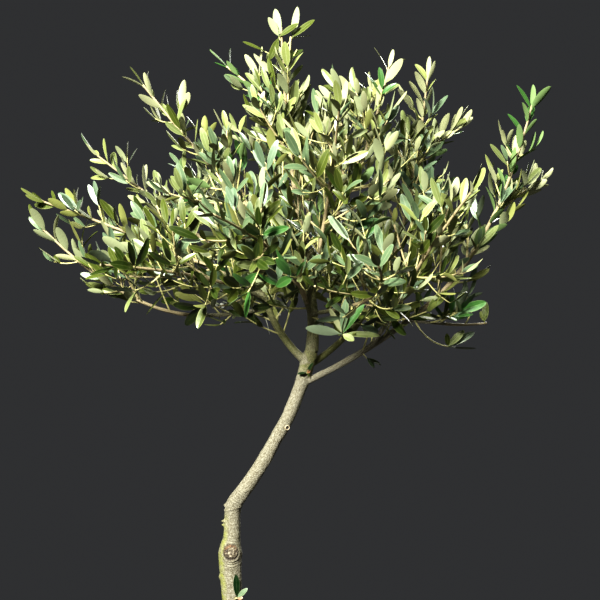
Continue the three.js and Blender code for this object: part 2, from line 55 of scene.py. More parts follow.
# Seeded rule, as in the part's source
SEED = 20260
MIX_KEY = 0x9E3779B1
MIX_BITS = 0x85EBCA6B
ALL_BITS = 0xFFFFFFFF
DRAW_ANGLE, DRAW_PLACE, DRAW_TURN, DRAW_LENGTH, DRAW_TWIST, DRAW_LEAF_TURN = range(1, 7)
DRAW_SPRAY, DRAW_BEND, DRAW_SWAY, DRAW_FOLD, DRAW_SIZE = range(7, 12)
STEM_KEY = 0
FIRST_SHOOT_KEY = 10
FIRST_TWIGLET_KEY = 100
GAP = 0.3
SOIL_TOP = 270

# Trunk: (x, y, z, radius) up the middle of the stem to the fork
TRUNK_STATIONS = np.array([
    (0, 0, SOIL_TOP - 10, 36), (-0.5, 0, 276, 30), (-1.5, 0, 290, 24), (-3, 1, 320, 20.5),
    (-6, 2, 400, 18.5), (-9, 3, 500, 17.2), (-12.5, 3, 600, 16.5), (-15.5, 2, 651, 17.6),
    (-15.5, 1, 678, 19.4), (-13.4, 0.5, 698, 13.9), (-12.6, 0, 713, 13.2), (-11.4, -1, 744, 12.8),
    (-7.6, -2, 757, 12.5), (5.2, -3, 774, 12), (29.8, -4, 811, 11.2), (58, -5, 859, 10.8),
    (77.8, -5, 896, 10.7), (93.3, -4, 933, 10.8), (102.3, -2, 958, 11.6), (108, 0, 979, 12),
    (114.6, 0, 998, 11),
])
TRUNK_STEPS = 24                      # points from one station to the next
TRUNK_FOOT = SOIL_TOP + 2
FLARE_RIDGES = 5
FLARE_DEPTH = 0.16
FLARE_HEIGHT = 60

# Boughs: parent, share of the parent's length, turning point, tip, radius at start and tip
BOUGHS = {
    "leader": ("trunk", 1, (122, 4, 1074), (102, 5, 1172), (10.4, 4.8)),
    "bough_left": ("trunk", 0.975, (60, -6, 1018), (38, -4, 1086), (6.6, 5)),
    "bough_right": ("trunk", 0.93, (196, -20, 990), (292, -35, 1068), (5.8, 4.2)),
    "bough_right_rear": ("trunk", 0.965, (170, 40, 1010), (206, 96, 1060), (5.6, 4.2)),
    "bough_front": ("leader", 0.22, (116, -44, 1050), (104, -78, 1082), (5, 3.8)),
    "bough_back": ("leader", 0.42, (112, 54, 1092), (94, 92, 1122), (5, 3.8)),
    "branch_left_low": ("bough_left", 0.86, (12, -28, 1056), (-60, -46, 1056), (3.6, 3)),
    "branch_left_front": ("bough_left", 0.95, (8, -52, 1098), (-28, -88, 1108), (3.6, 3)),
    "branch_left_middle": ("bough_left", 1, (18, 4, 1101), (-26, 16, 1122), (4.6, 3.6)),
    "branch_left_high": ("branch_left_middle", 0.45, (-18, 42, 1140), (-48, 64, 1166), (3.6, 3)),
    "branch_top_left": ("leader", 0.7, (84, -10, 1160), (40, -20, 1202), (4, 3.2)),
    "branch_top_right": ("leader", 0.84, (132, -26, 1174), (156, -40, 1216), (4, 3.2)),
    "branch_right_high": ("bough_right_rear", 0.85, (234, 66, 1096), (252, 52, 1156), (4, 3.2)),
    "branch_right_low": ("bough_right", 0.86, (304, -42, 1044), (332, -48, 1042), (2.8, 2.4)),
    "branch_right_front": ("bough_right", 0.55, (236, -66, 1052), (250, -92, 1084), (3.5, 3)),
    "branch_front_right": ("bough_front", 0.6, (146, -84, 1062), (176, -118, 1072), (3.5, 3)),
    "branch_front_high": ("bough_front", 0.84, (118, -92, 1116), (126, -100, 1160), (3.5, 3)),
    "branch_back_right": ("bough_back", 0.6, (134, 92, 1112), (166, 132, 1130), (3.5, 3)),
    "branch_back_high": ("bough_back", 0.86, (100, 98, 1152), (106, 104, 1190), (3.5, 3)),
}

# Masses of foliage: bough, tip of the stem, tips of its long side shoots
MASSES = {
    "left_low": ("branch_left_low", (-286, -70, 1176), []),
    "left_front": ("branch_left_front", (-168, -232, 1128), []),
    "left_middle": ("branch_left_middle", (-310, 42, 1236), []),
    "left_high": ("branch_left_high", (-236, 116, 1316), []),
    "top_left": ("branch_top_left", (-138, -36, 1402), []),
    "top": ("leader", (67, -10, 1494), [(-8, 20, 1446), (80, -22, 1476)]),
    "top_right": ("branch_top_right", (230, -48, 1424), [(166, -20, 1412)]),
    "right_high": ("branch_right_high", (300, 20, 1420), [(348, 60, 1356)]),
    "right": ("bough_right", (450, -60, 1362), [(468, -20, 1262)]),
    "right_low": ("branch_right_low", (386, -56, 1044), []),
    "right_rear": ("bough_right_rear", (352, 222, 1190), []),
    "front_left": ("bough_front", (-10, -290, 1190), []),
    "right_front": ("branch_right_front", (330, -216, 1222), []),
    "front_right": ("branch_front_right", (204, -292, 1120), []),
    "front_high": ("branch_front_high", (150, -226, 1336), []),
    "back_left": ("bough_back", (-40, 288, 1200), []),
    "back_right": ("branch_back_right", (216, 300, 1190), []),
    "back_high": ("branch_back_high", (80, 216, 1400), []),
}

# Growth of side twigs: spacing of the pairs, first and last places along the parent, length at
# the parent's foot and tip, shortest length, first pair's turn, how much it lifts towards the
# light, radius at the start and tip, length that may stand out of the dome, and how many of its
# check points may lie in the limb that it starts from
Growth = namedtuple("Growth",
                    "spacing first last reach reach_at_tip shortest turn lift radius tip_radius stray sunk")
SHOOTS = Growth(72, 0.06, 0.86, 200, 70, 45, 0.25, 0.32, 2.6, 1.4, 0, 0)
TWIGLETS = Growth(52, 0.16, 0.90, 110, 46, 26, 0.5, 0.6, 1.5, 1.0, 42, 0)
INNER_TWIGS = Growth(38, 0.45, 0.97, 90, 80, 24, 0.2, 0.3, 1.5, 1.0, 90, 2)
SIDE_ANGLE = 52
SIDE_ANGLE_SPREAD = 24
SIDE_SHARE = 0.62
SIDE_SHORTENING = 0.72
SIDE_TRIES = 4
SIDE_SCATTER = 0.6
SIDE_TURN_SPREAD = 0.3
SIDE_LENGTH_FROM = 0.75
SIDE_LENGTH_SPREAD = 0.45
STEM_HOLD = 0.4
STEM_TIP_RADIUS = 1.7
SPRIG_FROM = 0.45
TIP_GROWTH = 20                       # the finer twigs grow on past the source's, as its leaves do

# Room that each mass keeps to, and the dome that holds the crown
CELL_MARGIN = 2.5
LIMB_MARGIN = 1.5
SITE_COUNT = 8
CHECK_STEP = 8
DOME = SimpleNamespace(foot=1012, top=1400, radius=306, centre=46, lean=100, rise=0.21, droop=0.09)

# Leaves at their real size
LEAF_LENGTH = 40
LEAF_WIDTH = 11.2
LEAF_SLIMMEST = 0.85                  # of its width for its length, and how much more it may have
LEAF_WIDTH_SPREAD = 0.3
LEAF_SPACING = 21
LEAF_STAGGER = 2
LEAF_ANGLE = 56
LEAF_ANGLE_AT_TIP = 42
LEAF_LIFT = 0.4
LEAF_SIZE_AT_TIP = 0.95
LEAF_SIZE_SPREAD = 0.55
SMALLER_LEAF = 0.75
LEAF_TWIST = 1.5
LEAF_TURN_SPREAD = 0.4
LEAF_BEND = 0.4
LEAF_BEND_BACK = 0.6
LEAF_SWAY = 0.2
LEAF_CURVE = 1.0
LEAF_FOLD = 0.1
LEAF_FOLD_SPREAD = 0.36
LEAF_APART = 4.2
LEAF_OFF_TWIG = 3
END_LEAF_PLACE = 0.985
END_LEAF_ANGLE = 0.15
STEM_LEAVES_FROM = 0.3
SHOOT_LEAVES_FROM = 0.25
INNER_LEAVES_FROM = 0.3
BARE_STEMS = {"right_low": 0.8}       # an old stem that carries leaves only at its end
CLEARINGS = {"top": 50, "right_low": 60}   # from a stem's tip: leaves there are all given one by one
SPROUT_LEAF_SHAPE = (-0.05, 0.03, 0.15, 0.2)   # bend, sway, twist and fold
SPROUT_TAPER = 0.7

# Leaf blade: places along it from root to tip, its half width and half thickness there
LEAF_PLACES = (0, 0.02, 0.08, 0.15, 0.28, 0.45, 0.62, 0.78, 0.90, 0.97, 1)
LEAF_HALF_WIDTHS = (0, 0.1, 0.12, 0.38, 0.76, 0.97, 1, 0.86, 0.6, 0.32, 0)
LEAF_DEPTHS = (0, 0.6, 0.55, 0.48, 0.4, 0.36, 0.33, 0.3, 0.24, 0.18, 0)
LEAF_COLUMNS = (-1, -0.84, -0.06, 0.06, 0.84, 1)   # pale margin, blade, midrib, blade, margin
UPPER, RIB, UNDER = range(3)
LEAF_COLUMN_SIDES = (RIB, UPPER, RIB, UPPER, RIB, UNDER, UNDER)
LEAF_CURL = 0.08                      # how far the margins turn down, in half widths
LEAF_SHARP = 70                       # degrees: margins are sharp, the midrib isn't

# Linear colours of the sprays: upper side, under side. The first five go from painted shade to painted
# light: darker copies for leaves inside the crown, lighter ones for those high and far out.
SPRAYS = {
    "deep_shade": ((0.017, 0.030, 0.003), (0.066, 0.080, 0.013)),
    "olive": ((0.047, 0.063, 0.009), (0.132, 0.144, 0.038)),
    "grey": ((0.072, 0.108, 0.055), (0.176, 0.198, 0.105)),
    "light": ((0.114, 0.138, 0.050), (0.218, 0.230, 0.118)),
    "fresh_and_lit": ((0.155, 0.180, 0.060), (0.252, 0.264, 0.147)),
    # partly the leaves' own grey-blue, partly painted sky sheen on their upper side
    "mint": ((0.072, 0.108, 0.062), (0.120, 0.152, 0.092)),
    "green": ((0.033, 0.090, 0.020), (0.098, 0.152, 0.052)),
    # near-black painted shade, for sprout leaves that stand in shade
    "dark": ((0.003, 0.016, 0.002), (0.030, 0.055, 0.014)),
    "bud": ((0.200, 0.105, 0.050), (0.200, 0.105, 0.050)),
}
SPRAY_NAMES = list(SPRAYS)
LIT_SPRAYS = 5
LIGHT_BY_RISE = 0.62                  # painted light: how much lighter the leaves of twigs are that stand high, and far out
LIGHT_BY_REACH = 0.22
LIGHT_SPREAD = 0.5
MINT_SHARE = 0.07                     # of the twigs
GREEN_SHARE = 0.05
UPPER_SHARE = 0.5                     # of the upper side's colour in the midrib and margin
NEXT_TINT_SHARE = 0.22                # of a twig's leaves are a tint darker, and as many a tint lighter

# Sprouts low on the limbs and at the top: limb or mass, share of its length, turning point and tip
# from there, radius, and leaves: length and heading, what their upper side faces, width, spray
# each leaf's spray paints light or shade on it, as in the sprays above
SPROUTS = [
    ("branch_front_right", 0.97, (-2, -26, -18), (-16, -34, -42), 1.7, [
        ((-54, -8, 12), (0.1, 1, 0.2), 15, "mint"), ((-18, -4, 40), (0.3, 0.9, 0), 9, "light"),
        ((4, -10, 53), (-0.3, -1, 0.1), 13, "grey"), ((30, -8, 46), (-0.5, -0.9, 0.3), 12, "green"),
        ((17, -10, -8), (-0.2, -1, 0.5), 11, "fresh_and_lit"), ((55, -8, 1), (0.1, -0.8, 0.6), 12, "light")]),
    ("foliage_top", 0.99, (-3, -2, 3), (-5, -3, 7), 1.2, [
        ((-4, 6, 46), (0.2, 0.9, 0.1), 14, "grey"), ((-15, -4, 31), (0.4, 0.9, 0), 12, "grey"),
        ((30, -12, 20), (-0.2, -0.9, 0.4), 12, "olive"), ((-13, -8, -37), (0.3, -0.9, 0.2), 12, "olive")]),
    ("foliage_top", 0.95, (8, -2, 6), (15, -4, 18), 1.2, [
        ((11, 3, 50), (0.2, 0.9, 0.1), 12, "grey"), ((35, -6, 30), (-0.2, -0.9, 0.5), 13, "olive"),
        ((30, 6, 7), (0.1, -0.3, 1), 8, "light")]),
    ("foliage_top", 0.92, (-14, -2, 0), (-28, -3, 7), 1.1, [
        ((-35, -4, 16), (0.1, -0.6, 0.8), 9, "olive")]),
    ("foliage_top", 0.88, (2, -4, 2), (3, -7, 4), 1.1, [
        ((28, -8, 18), (-0.2, -0.8, 0.6), 12, "deep_shade"), ((-14, 2, 26), (0.2, 0.9, 0.1), 11, "grey")]),
    ("bough_right", 0.9, (14, -22, -40), (52, -24, -46), 1.4, [
        ((40, -4, 24), (0.1, -0.9, 0.4), 12, "grey"), ((22, -12, 26), (-0.2, -0.9, 0.3), 12, "light"),
        ((-4, -10, 20), (0.2, -0.9, 0.3), 9, "olive"), ((44, 2, -4), (0.1, -0.4, -0.9), 7, "deep_shade")]),
    ("foliage_right_low", 0.93, (0, -2, 1), (0, -3, 2), 1.1, [
        ((1, -3, 31), (-0.3, -0.9, 0.1), 11, "olive"), ((-5, 8, 17), (0.3, 0.9, 0), 8, "deep_shade")]),
    ("bough_right", 0.47, (4, -6, -4), (8, -10, -9), 1.2, [
        ((22, -6, -9), (0.2, -0.6, 0.8), 9, "deep_shade"), ((12, -4, -14), (0.6, -0.8, 0.2), 9, "grey")]),
    ("trunk", 0.95, (3, -12, 2), (4, -15, 3), 1.8, [
        ((-15, -2, -1), (0.1, -0.3, 1), 8, "dark"), ((9, -5, 17), (-0.6, -0.6, 0.6), 9, "dark"),
        ((5, -4, 5), (0.1, -1, 0.2), 5, "bud"), ((3, -3, -6), (0.8, -0.7, 0.1), 5, "olive")]),
    ("trunk", 0.444, (5, -16, 3), (9, -22, 6), 1.8, [
        ((-2, -6, 38), (0.5, -0.9, 0.1), 11, "dark"), ((16, -4, 17), (-0.2, -1, 0.3), 8, "grey"),
        ((9, -4, 2), (0.2, -0.9, 0.3), 6, "bud")]),
]


def unit(vectors):
    return vectors / np.linalg.norm(vectors, axis=-1, keepdims=True)


def distances(points, others):
    return np.linalg.norm(points[:, None] - others, axis=2)


def chance(*keys):
    """A repeatable number from 0 to 1 for a list of whole-number keys."""
    bits = SEED
    for key in keys:
        bits = ((bits ^ (key + 1)) * MIX_KEY) & ALL_BITS
        bits ^= bits >> 15
        bits = (bits * MIX_BITS) & ALL_BITS
        bits ^= bits >> 13
    return bits / 2 ** 32


def around(middle, spread, *keys):
    """A repeatable number within half a spread of the middle."""
    return middle + spread * (chance(*keys) - 0.5)


class Line:
    """A tapering line, read by shares of its length."""

    def __init__(self, points, radii):
        self.points = np.asarray(points, float)
        steps = np.linalg.norm(np.diff(self.points, axis=0), axis=1)
        self.marks = np.concatenate([[0.0], np.cumsum(steps)])
        self.length = self.marks[-1]
        self.radii = radii

    def at(self, along):
        want = np.clip(along, 0, 1) * self.length
        return np.stack([np.interp(want, self.marks, axis) for axis in self.points.T], -1)

    def heading(self, along):
        return unit(self.at(along + HEADING_STEP) - self.at(along - HEADING_STEP))

    def radius(self, along):
        return self.radii[0] + (self.radii[1] - self.radii[0]) * along

    def check_points(self):
        count = max(2, math.ceil(self.length / CHECK_STEP))
        return self.at(np.linspace(0, 1, count + 1))

    def cut(self, share):
        """The line up to a share of its length."""
        return Line(self.at(np.linspace(0, share, 60)), (self.radii[0], self.radius(share)))

    def grown(self, reach):
        """The same line, longer at its tip."""
        tip = self.points[-1] + self.heading(1.0) * reach
        return Line(np.vstack([self.points, tip]), self.radii)


def bezier(start, via, tip, radii):
    t = np.linspace(0, 1, 201)[:, None]
    start, via, tip = (np.asarray(p, float) for p in (start, via, tip))
    return Line((1 - t) ** 2 * start + 2 * t * (1 - t) * via + t ** 2 * tip, radii)


def trunk_line():
    """A smooth line through the trunk's stations."""
    stations = TRUNK_STATIONS[:, :3]
    ends = np.vstack([2 * stations[0] - stations[1], stations, 2 * stations[-1] - stations[-2]])
    points = []
    for i, t in product(range(len(stations) - 1), np.linspace(0, 1, TRUNK_STEPS, endpoint=False)):
        before, start, end, after = ends[i:i + 4]
        leave, arrive = (end - before) / 2, (after - start) / 2
        points.append(start * (2 * t ** 3 - 3 * t ** 2 + 1) + leave * (t ** 3 - 2 * t ** 2 + t)
                      + end * (3 * t ** 2 - 2 * t ** 3) + arrive * (t ** 3 - t ** 2))
    return Line([*points, stations[-1]], TRUNK_STATIONS[[0, -1], 3])


def trunk_radius(height, turn):
    radius = np.interp(height, TRUNK_STATIONS[:, 2], TRUNK_STATIONS[:, 3])
    flare = np.maximum(0, 1 - (height - TRUNK_STATIONS[0, 2]) / FLARE_HEIGHT) ** 2
    return radius * (1 + FLARE_DEPTH * flare * np.cos(FLARE_RIDGES * turn))


def grow_limbs():
    limbs = {"trunk": trunk_line()}
    for name, (parent, at, via, tip, radii) in BOUGHS.items():
        start = limbs[parent].at(at)
        if at == 1:
            start = start + limbs[parent].heading(1.0) * GAP
        limbs[name] = bezier(start, via, tip, radii)
    return limbs


def limb_spheres():
    """Points along all the limbs, the trunk first, and how thick the limbs are there."""
    points = [limb.check_points() for limb in limbs.values()]
    radii = [limb.radius(np.linspace(0, 1, len(row))) for limb, row in zip(limbs.values(), points)]
    radii[0] = trunk_radius(points[0][:, 2], 0)
    return np.vstack(points), np.concatenate(radii)


limbs = grow_limbs()
limb_points, limb_radii = limb_spheres()


# Growth of the masses

def side_radii(stem, along, radius, tip_radius):
    thickest = min(radius, SIDE_SHARE * stem.radius(along))
    return thickest, min(thickest, tip_radius)


def reach_out(start, heading, tip, radii):
    """A line that sets off along a heading and ends at a tip."""
    via = start + heading * STEM_HOLD * np.linalg.norm(np.array(tip) - start)
    return bezier(start, via, tip, radii)


class Mass:
    """A mass of foliage: its stem, its sprigs and the room that it keeps to."""

    def __init__(self, number, name, bough, tip, sprigs):
        self.number = number
        self.name = name
        limb = limbs[bough]
        heading = limb.heading(1.0)
        start = limb.at(1.0) + heading * GAP
        self.stem = reach_out(start, heading, tip, (limb.radius(1), STEM_TIP_RADIUS))
        radii = side_radii(self.stem, SPRIG_FROM, SHOOTS.radius, STEM_TIP_RADIUS)
        self.sprigs = [reach_out(self.stem.at(SPRIG_FROM), self.stem.heading(SPRIG_FROM), end, radii)
                       for end in sprigs]
        shares = np.linspace(0, 1, SITE_COUNT + 1)[1:]
        self.sites = np.vstack([line.at(shares) for line in (self.stem, *self.sprigs)])


def has_room(points, mass):
    """Whether points are clear of the limbs, and nearer to their own mass than to the others."""
    if (distances(points, limb_points) - limb_radii).min() <= LIMB_MARGIN:
        return False
    own = distances(points, mass.sites).min(axis=1)
    others = distances(points, mass.other_sites).min(axis=1)
    return bool((others > own + 2 * CELL_MARGIN).all())


def rise_of(point):
    """How high a point is in the crown, from 0 to 1."""
    return (point[2] - DOME.foot) / (DOME.top - DOME.foot)


def is_off_ground(point):
    """Whether a tip is above the crown's underside, which rises outward and droops to the right."""
    outward = math.hypot(point[0] - DOME.centre, point[1])
    droop = DOME.droop * (point[0] - DOME.centre)
    return point[2] > DOME.foot + DOME.rise * outward - droop


def in_dome(point):
    rise = rise_of(point)
    if rise > 1 or not is_off_ground(point):
        return False
    radius = DOME.radius * math.sqrt(1 - rise * rise)
    return math.hypot(point[0] - DOME.centre - DOME.lean * rise, point[1]) < radius


def across_twig(tangent):
    """Two directions across a twig: one level, one above it."""
    level = np.cross(tangent, UP)
    if np.linalg.norm(level) < UPRIGHT:
        level = np.array([1.0, 0.0, 0.0])
    level = unit(level)
    return level, unit(np.cross(level, tangent))


def side_heading(tangent, angle, turn, lift):
    level, above = across_twig(tangent)
    aside = level * math.cos(turn) + above * math.sin(turn)
    return unit(tangent * math.cos(angle) + aside * math.sin(angle) + UP * lift)


def make_shoot(stem, along, turn, length, growth, keys):
    start = stem.at(along)
    angle = math.radians(around(SIDE_ANGLE, SIDE_ANGLE_SPREAD, *keys, DRAW_ANGLE))
    heading = side_heading(stem.heading(along), angle, turn, 0)
    via = start + heading * length / 2
    tip = via + unit(heading + UP * growth.lift) * length / 2
    return bezier(start, via, tip, side_radii(stem, along, growth.radius, growth.tip_radius))


def fit_shoot(stem, mass, along, turn, full_length, growth, keys):
    """The longest shoot that has room, from its full length down."""
    for attempt in range(SIDE_TRIES):
        length = full_length * SIDE_SHORTENING ** attempt
        if length <= growth.shortest:
            return []
        shoot = make_shoot(stem, along, turn, length, growth, keys)
        points = shoot.check_points()[1 + growth.sunk:]
        fits = in_dome(points[-1]) or (length < growth.stray and is_off_ground(points[-1]))
        if fits and has_room(points, mass):
            return [shoot]
    return []


def grow_shoots(stem, mass, growth, twig_key):
    """Pairs of side twigs, each pair turned by a right angle from the one below it."""
    pairs = max(1, math.floor(stem.length / growth.spacing + 0.5))
    shoots = []
    for pair, side in product(range(pairs), (0, 1)):
        keys = (mass.number, twig_key, pair, side)
        place = (pair + SIDE_SCATTER * chance(*keys, DRAW_PLACE)) / pairs
        along = growth.first + (growth.last - growth.first) * place
        turn = math.pi * around(pair / 2 + side + growth.turn, SIDE_TURN_SPREAD, *keys, DRAW_TURN)
        reach = growth.reach + (growth.reach_at_tip - growth.reach) * along
        share = SIDE_LENGTH_FROM + SIDE_LENGTH_SPREAD * chance(*keys, DRAW_LENGTH)
        shoots += fit_shoot(stem, mass, along, turn, reach * share, growth, keys)
    return shoots


# Leaves

Leaf = namedtuple("Leaf", "root heading facing length width bend sway twist fold spray")


def turned_about(vector, axis, angle):
    """A vector square to an axis, turned about it."""
    return vector * math.cos(angle) + np.cross(axis, vector) * math.sin(angle)


def leaf_points(root, heading, facing, length):
    """Four points along a leaf's middle and one on each margin."""
    across = np.cross(heading, facing)
    points = [root + heading * length * place for place in (0.25, 0.5, 0.75, 1)]
    half = LEAF_WIDTH * length / LEAF_LENGTH / 2
    return np.array([*points, points[1] - across * half, points[1] + across * half])


def is_apart(points, twig_number, mass):
    """Whether points are off the other leaves and twigs of their mass."""
    near = distances(points, mass.blades)
    if near.size and near.min() < LEAF_APART:
        return False
    near = distances(points, mass.twig_points[mass.twig_owners != twig_number])
    return not near.size or near.min() > LEAF_OFF_TWIG


def fit_leaf(twig, twig_number, mass, along, angle, turn, spray, keys):
    """A leaf at its full size, or a smaller one, where it has room."""
    tangent = twig.heading(along)
    heading = side_heading(tangent, angle, turn, LEAF_LIFT)
    root = twig.at(along)
    facing = tangent - heading * (tangent @ heading)
    if np.linalg.norm(facing) < UPRIGHT:
        facing = across_twig(heading)[1]
    facing = turned_about(unit(facing), heading, around(0, LEAF_TWIST, *keys, DRAW_TWIST))
    size = around(1 + (LEAF_SIZE_AT_TIP - 1) * along, LEAF_SIZE_SPREAD, *keys, DRAW_SIZE)
    for scale in (size, size * SMALLER_LEAF):
        points = leaf_points(root, heading, facing, LEAF_LENGTH * scale)
        if has_room(points, mass) and is_apart(points[1:4], twig_number, mass):
            mass.blades = np.vstack([mass.blades, points[1:4]])
            width = LEAF_WIDTH * scale * (LEAF_SLIMMEST + LEAF_WIDTH_SPREAD * chance(*keys, DRAW_FOLD, 1))
            bend = LEAF_BEND * (chance(*keys, DRAW_BEND) - LEAF_BEND_BACK)
            sway = around(0, LEAF_SWAY, *keys, DRAW_SWAY)
            twist = around(0, LEAF_CURVE, *keys, DRAW_TWIST, 1)
            fold = LEAF_FOLD + LEAF_FOLD_SPREAD * chance(*keys, DRAW_FOLD)
            return [Leaf(root, heading, facing, LEAF_LENGTH * scale, width, bend, sway, twist, fold, spray)]
    return []


def spray_of(twig, mass, twig_key):
    """The tint of a twig's leaves: painted light, lighter where the light reaches, and painted shade, darker
    inside the crown; a few twigs get the mint or green tint.
    """
    odd = chance(mass.number, twig_key, DRAW_SPRAY, 1)
    if odd < MINT_SHARE + GREEN_SHARE:
        return SPRAY_NAMES.index("mint" if odd < MINT_SHARE else "green")
    tip = twig.at(1.0)
    outward = math.hypot(tip[0] - DOME.centre, tip[1]) / DOME.radius
    light = around(LIGHT_BY_RISE * rise_of(tip) + LIGHT_BY_REACH * outward, LIGHT_SPREAD,
                   mass.number, twig_key, DRAW_SPRAY)
    return int(np.clip(light * LIT_SPRAYS, 0, LIT_SPRAYS - 1))


def tint_of(spray, keys):
    """The tint of one leaf: that of its twig, or the next one."""
    if spray >= LIT_SPRAYS:
        return spray
    draw = chance(*keys, DRAW_SPRAY)
    step = 1 if draw > 1 - NEXT_TINT_SHARE else -1 if draw < NEXT_TINT_SHARE else 0
    return min(max(spray + step, 0), LIT_SPRAYS - 1)


def grow_leaves(twig, twig_number, mass, start, twig_key):
    """One leaf at a twig's tip and opposite pairs of leaves along it, and how far along they reach."""
    pairs = max(1, math.floor(twig.length * (1 - start) / LEAF_SPACING + 0.5))
    spray = spray_of(twig, mass, twig_key)
    end_keys = (mass.number, twig_key, pairs, 0)
    leaves = fit_leaf(twig, twig_number, mass, END_LEAF_PLACE, END_LEAF_ANGLE, 0,
                      tint_of(spray, end_keys), end_keys)
    reach = len(leaves)
    for pair, side in product(range(pairs), (0, 1)):
        keys = (mass.number, twig_key, pair, side)
        stagger = LEAF_STAGGER / twig.length * (side - 0.5)
        along = start + (1 - start) * (pair + 0.6) / pairs + stagger
        angle = math.radians(LEAF_ANGLE + (LEAF_ANGLE_AT_TIP - LEAF_ANGLE) * along)
        turn = math.pi * around(pair / 2 + side, LEAF_TURN_SPREAD, *keys, DRAW_LEAF_TURN)
        fitted = fit_leaf(twig, twig_number, mass, along, angle, turn, tint_of(spray, keys), keys)
        if fitted:
            reach = max(reach, along)
            leaves += fitted
    return leaves, reach


def leaf_out(mass, twigs, main_count):
    """The leaves of a mass, twig by twig. A twig is a line, its key and where its leaves start.
    Each twig ends at its last leaf, and a fine twig without leaves is left out."""
    checks = [twig.check_points() for twig, _, _ in twigs]
    mass.main_count = main_count
    mass.twigs = []
    mass.twig_points = np.vstack(checks)
    mass.twig_owners = np.concatenate([np.full(len(points), i) for i, points in enumerate(checks)])
    mass.blades = np.empty((0, 3))
    mass.leaves = []
    for i, (twig, key, start) in enumerate(twigs):
        leaves, reach = grow_leaves(twig, i, mass, start, key)
        mass.leaves += leaves
        if leaves or i < main_count:
            mass.twigs.append(twig.cut(reach or 1))


def grow_mass(mass):
    """The source's stem, sprigs and shoots, then finer twigs on all of them, then the leaves."""
    shoots = grow_shoots(mass.stem, mass, SHOOTS, STEM_KEY)
    main = [(mass.stem, STEM_KEY, BARE_STEMS.get(mass.name, STEM_LEAVES_FROM))]
    main += [(sprig, 1 + i, STEM_LEAVES_FROM) for i, sprig in enumerate(mass.sprigs)]
    main += [(shoot, FIRST_SHOOT_KEY + i, SHOOT_LEAVES_FROM) for i, shoot in enumerate(shoots)]
    growth = 0 if mass.name in BARE_STEMS else TIP_GROWTH
    twigs = [(line.grown(growth), key, start) for line, key, start in main]
    for line, key, _ in main:
        fine_key = FIRST_TWIGLET_KEY * (key + 1)
        fine = grow_shoots(line, mass, TWIGLETS, fine_key)
        twigs += [(twig, fine_key + 1 + i, SHOOT_LEAVES_FROM) for i, twig in enumerate(fine)]
    leaf_out(mass, twigs, len(main))
    clearing = CLEARINGS.get(mass.name, 0)
    mass.leaves = [leaf for leaf in mass.leaves if np.linalg.norm(leaf.root - mass.stem.at(1)) > clearing]


def grow_inside():
    """Pairs of short twigs on every bough, which have the whole crown for room."""
    inside = SimpleNamespace(number=len(MASSES), name="inside", sites=np.zeros((1, 3)),
                             other_sites=np.full((1, 3), FAR_AWAY))
    twigs = []
    for i, name in enumerate(BOUGHS):
        key = FIRST_TWIGLET_KEY * (i + 1)
        shoots = grow_shoots(limbs[name], inside, INNER_TWIGS, key)
        twigs += [(twig, key + 1 + j, INNER_LEAVES_FROM) for j, twig in enumerate(shoots)]
    leaf_out(inside, twigs, 0)
    return inside


def sprout_leaf(root, reach, facing, width, spray):
    """A leaf of a sprout, as listed."""
    reach = np.array(reach, float)
    length = np.linalg.norm(reach)
    heading = reach / length
    facing = np.array(facing, float)
    facing = unit(facing - heading * (facing @ heading))
    return Leaf(root, heading, facing, length, width, *SPROUT_LEAF_SHAPE, SPRAY_NAMES.index(spray))


def grow_sprout(limb, share, via, tip, radius, leaves):
    """A sprout on a limb or on a mass's stem. One on a stem belongs to that mass."""
    owner = next((mass for mass in masses if limb == "foliage_" + mass.name), inside)
    line = limbs[limb] if owner is inside else owner.stem
    start = line.at(share)
    twig = bezier(start, start + via, start + tip, (radius, radius * SPROUT_TAPER))
    owner.leaves += [sprout_leaf(twig.at(1), *leaf) for leaf in leaves]
    owner.twigs.append(twig)


masses = [Mass(number, name, *plan) for number, (name, plan) in enumerate(MASSES.items())]
for mass in masses:
    mass.other_sites = np.vstack([other.sites for other in masses if other is not mass])
    grow_mass(mass)
inside = grow_inside()
for plan in SPROUTS:
    grow_sprout(*plan)


# Meshes

Surface = namedtuple("Surface", "corners loops sizes slots")


def joined(surfaces):
    """Several surfaces as one."""
    starts = np.cumsum([0] + [len(s.corners) for s in surfaces[:-1]])
    return Surface(np.vstack([s.corners for s in surfaces]),
                   np.concatenate([s.loops + start for s, start in zip(surfaces, starts)]),
                   np.concatenate([s.sizes for s in surfaces]),
                   np.concatenate([s.slots for s in surfaces]))


def mesh_object(name, surface, materials, sharp=None):
    """A smooth mesh from a surface in millimetres, with the materials that it uses."""
    used = np.unique(surface.slots)
    mesh = bpy.data.meshes.new(name)
    mesh.vertices.add(len(surface.corners))
    mesh.vertices.foreach_set("co", (surface.corners * MM).astype(np.float32).ravel())
    mesh.loops.add(len(surface.loops))
    mesh.loops.foreach_set("vertex_index", surface.loops.astype(np.int32))
    mesh.polygons.add(len(surface.sizes))
    starts = np.concatenate([[0], np.cumsum(surface.sizes)[:-1]])
    mesh.polygons.foreach_set("loop_start", starts.astype(np.int32))
    mesh.update(calc_edges=True)
    mesh.polygons.foreach_set("material_index", np.searchsorted(used, surface.slots).astype(np.int32))
    for slot in used:
        mesh.materials.append(materials[slot])
    mesh.shade_smooth()
    if sharp is not None:
        mesh.set_sharp_from_angle(angle=math.radians(sharp))
    obj = bpy.data.objects.new(name, mesh)
    bpy.context.scene.collection.objects.link(obj)
    return obj


def settle(obj, slot, *nodes):
    """A finished piece: it rides on the one body and stands for its nodes."""
    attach(obj, "root")
    if nodes:
        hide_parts(*nodes)


def circle_turns(sides):
    return np.arange(sides) * FULL_TURN / sides


